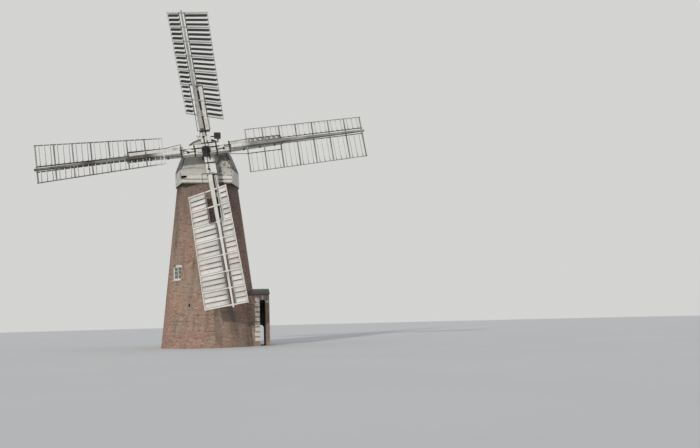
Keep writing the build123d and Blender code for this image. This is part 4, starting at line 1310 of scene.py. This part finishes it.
def makeCanisterFittings():
    luck, mesh = startPiece(71)
    turn, end = armPlace(0), canister["length"] / 2
    for z in (canister["flangeIn"] - end, end - canister["flangeIn"]):
        for angle in (0, pi / 2, pi, 3 * pi / 2):
            out = Vector((cos(angle), sin(angle), 0))
            place = frameOf(out * (canister["size"] / 2) + wayZ * z, Vector((-out.y, out.x, 0)), out)
            addBoard(mesh, luck, turn @ place, canister["flange"], plainTone, canister["flangeChamfer"])
    nose = turn @ moved(0, 0, end + canister["noseLong"])
    for k in range(canister["bolts"]):
        angle = 2 * pi * k / canister["bolts"]
        at = (cos(angle) * canister["boltCircle"], sin(angle) * canister["boltCircle"], 0)
        addBolt(mesh, nose @ moved(*at), *canister["bolt"])
    addRing(mesh, nose, *canister["noseRing"])
    addRing(mesh, turn @ moved(0, 0, end + canister["mouth"]), *canister["mouthRing"])
    finishPiece(mesh, "canister_fittings", "painted_iron", "sails", True)


makeCanisterFittings()


# Finishes of the solids that stay in view
cadFinish = {
    "lime_mortar": wallNames + ["hood_walls", "ground_floor"],
    "pale_stone": ["window_sills"],
    "white_timber": ["window_frames", "fan_posts", "fan_blades"],
    "sail_timber": ["whips"],
    "frame_timber": ["sail_frames"],
    "stock_timber": ["stock_upright", "stock_level", "stock_clamps"],
    # the backing solids take the darker paints as painted shade
    "white_backing_shade": ["petticoat", "front_gable", "rear_gable"],
    "grey_backing_shade": ["roof_left", "roof_right", "ridge_board"],
    "rail_paint": ["gable_rails"],
    "bare_oak": ["curb", "cap_ring", "sheers", "weather_beam", "tail_beam"],
    "plain_deal": ["first_floor", "fan_stage"],
    "tarred_frame": ["door_frame", "door_leaf", "hood_cover"],
    "painted_iron": ["windshaft", "poll_end", "striking_gear", "shutter_bars", "bell_cranks", "fan_gear_case",
                     "fan_shaft"],
    "old_glass": ["window_panes"],
}
for look, members in cadFinish.items():
    for member in members:
        nodes[member].data.materials.clear()
        nodes[member].data.materials.append(finish[look])
print("solids painted")


# Floor, light and camera
light = {
    "sunFrom": (-0.47, -0.82, 0.32), "sunStrength": 2.05, "sunSize": 3.0, "sunColour": (1.0, 0.965, 0.91),
    "sky": (0.86, 0.90, 1.0), "skyStrength": 0.62, "backdrop": (0.655, 0.655, 0.64),
}
view = {"place": (0.99, -46.85, 1.5), "yaw": -9.04, "pitch": 0.30, "roll": -1.43, "lens": 39.6,
        "shift": 0.1286, "far": 500}


def makeGround():
    mesh = bmesh.new()
    bmesh.ops.create_circle(mesh, cap_ends=True, segments=floorPlan["sides"], radius=floorPlan["radius"])
    data = bpy.data.meshes.new("floor")
    mesh.to_mesh(data)
    mesh.free()
    data.materials.append(finish["pale_floor"])
    addObject("floor", data)


def setLight():
    sun = bpy.data.lights.new("sun", "SUN")
    sun.energy, sun.angle, sun.color = light["sunStrength"], radians(light["sunSize"]), light["sunColour"]
    addObject("sun", sun).rotation_euler = Vector(light["sunFrom"]).to_track_quat("Z", "Y").to_euler()
    scene.world = bpy.data.worlds.new("sky")
    scene.world.use_nodes = True
    tree = scene.world.node_tree
    soft, seen = tree.nodes["Background"], tree.nodes.new("ShaderNodeBackground")
    setSocket(soft.inputs["Color"], light["sky"])
    setSocket(soft.inputs["Strength"], light["skyStrength"])
    setSocket(seen.inputs["Color"], light["backdrop"])
    # what is seen straight, in a reflection or through glass is the plain backdrop
    rays = tree.nodes.new("ShaderNodeLightPath").outputs
    shown = reckon("MAXIMUM", rays["Is Camera Ray"], rays["Is Glossy Ray"])
    shown = reckon("MAXIMUM", shown, rays["Is Transmission Ray"])
    both = addNode("ShaderNodeMixShader", {0: shown, 1: soft.outputs[0], 2: seen.outputs[0]})[0]
    setSocket(tree.nodes["World Output"].inputs["Surface"], both)


def setCamera():
    yaw, pitch, roll = (radians(view[name]) for name in ("yaw", "pitch", "roll"))
    ahead = Vector((-sin(yaw) * cos(pitch), cos(yaw) * cos(pitch), sin(pitch)))
    level = Vector((cos(yaw), sin(yaw), 0))
    upright = level.cross(ahead)
    right, up = level * cos(roll) + upright * sin(roll), upright * cos(roll) - level * sin(roll)
    lens = bpy.data.cameras.new("camera")
    lens.lens, lens.shift_y, lens.clip_end = view["lens"], view["shift"], view["far"]
    scene.camera = addObject("camera", lens)
    scene.camera.matrix_world = framed(view["place"], right, up, -ahead)


makeGround()
setLight()
setCamera()
scene.view_settings.view_transform = "Standard"
print("scene ready")
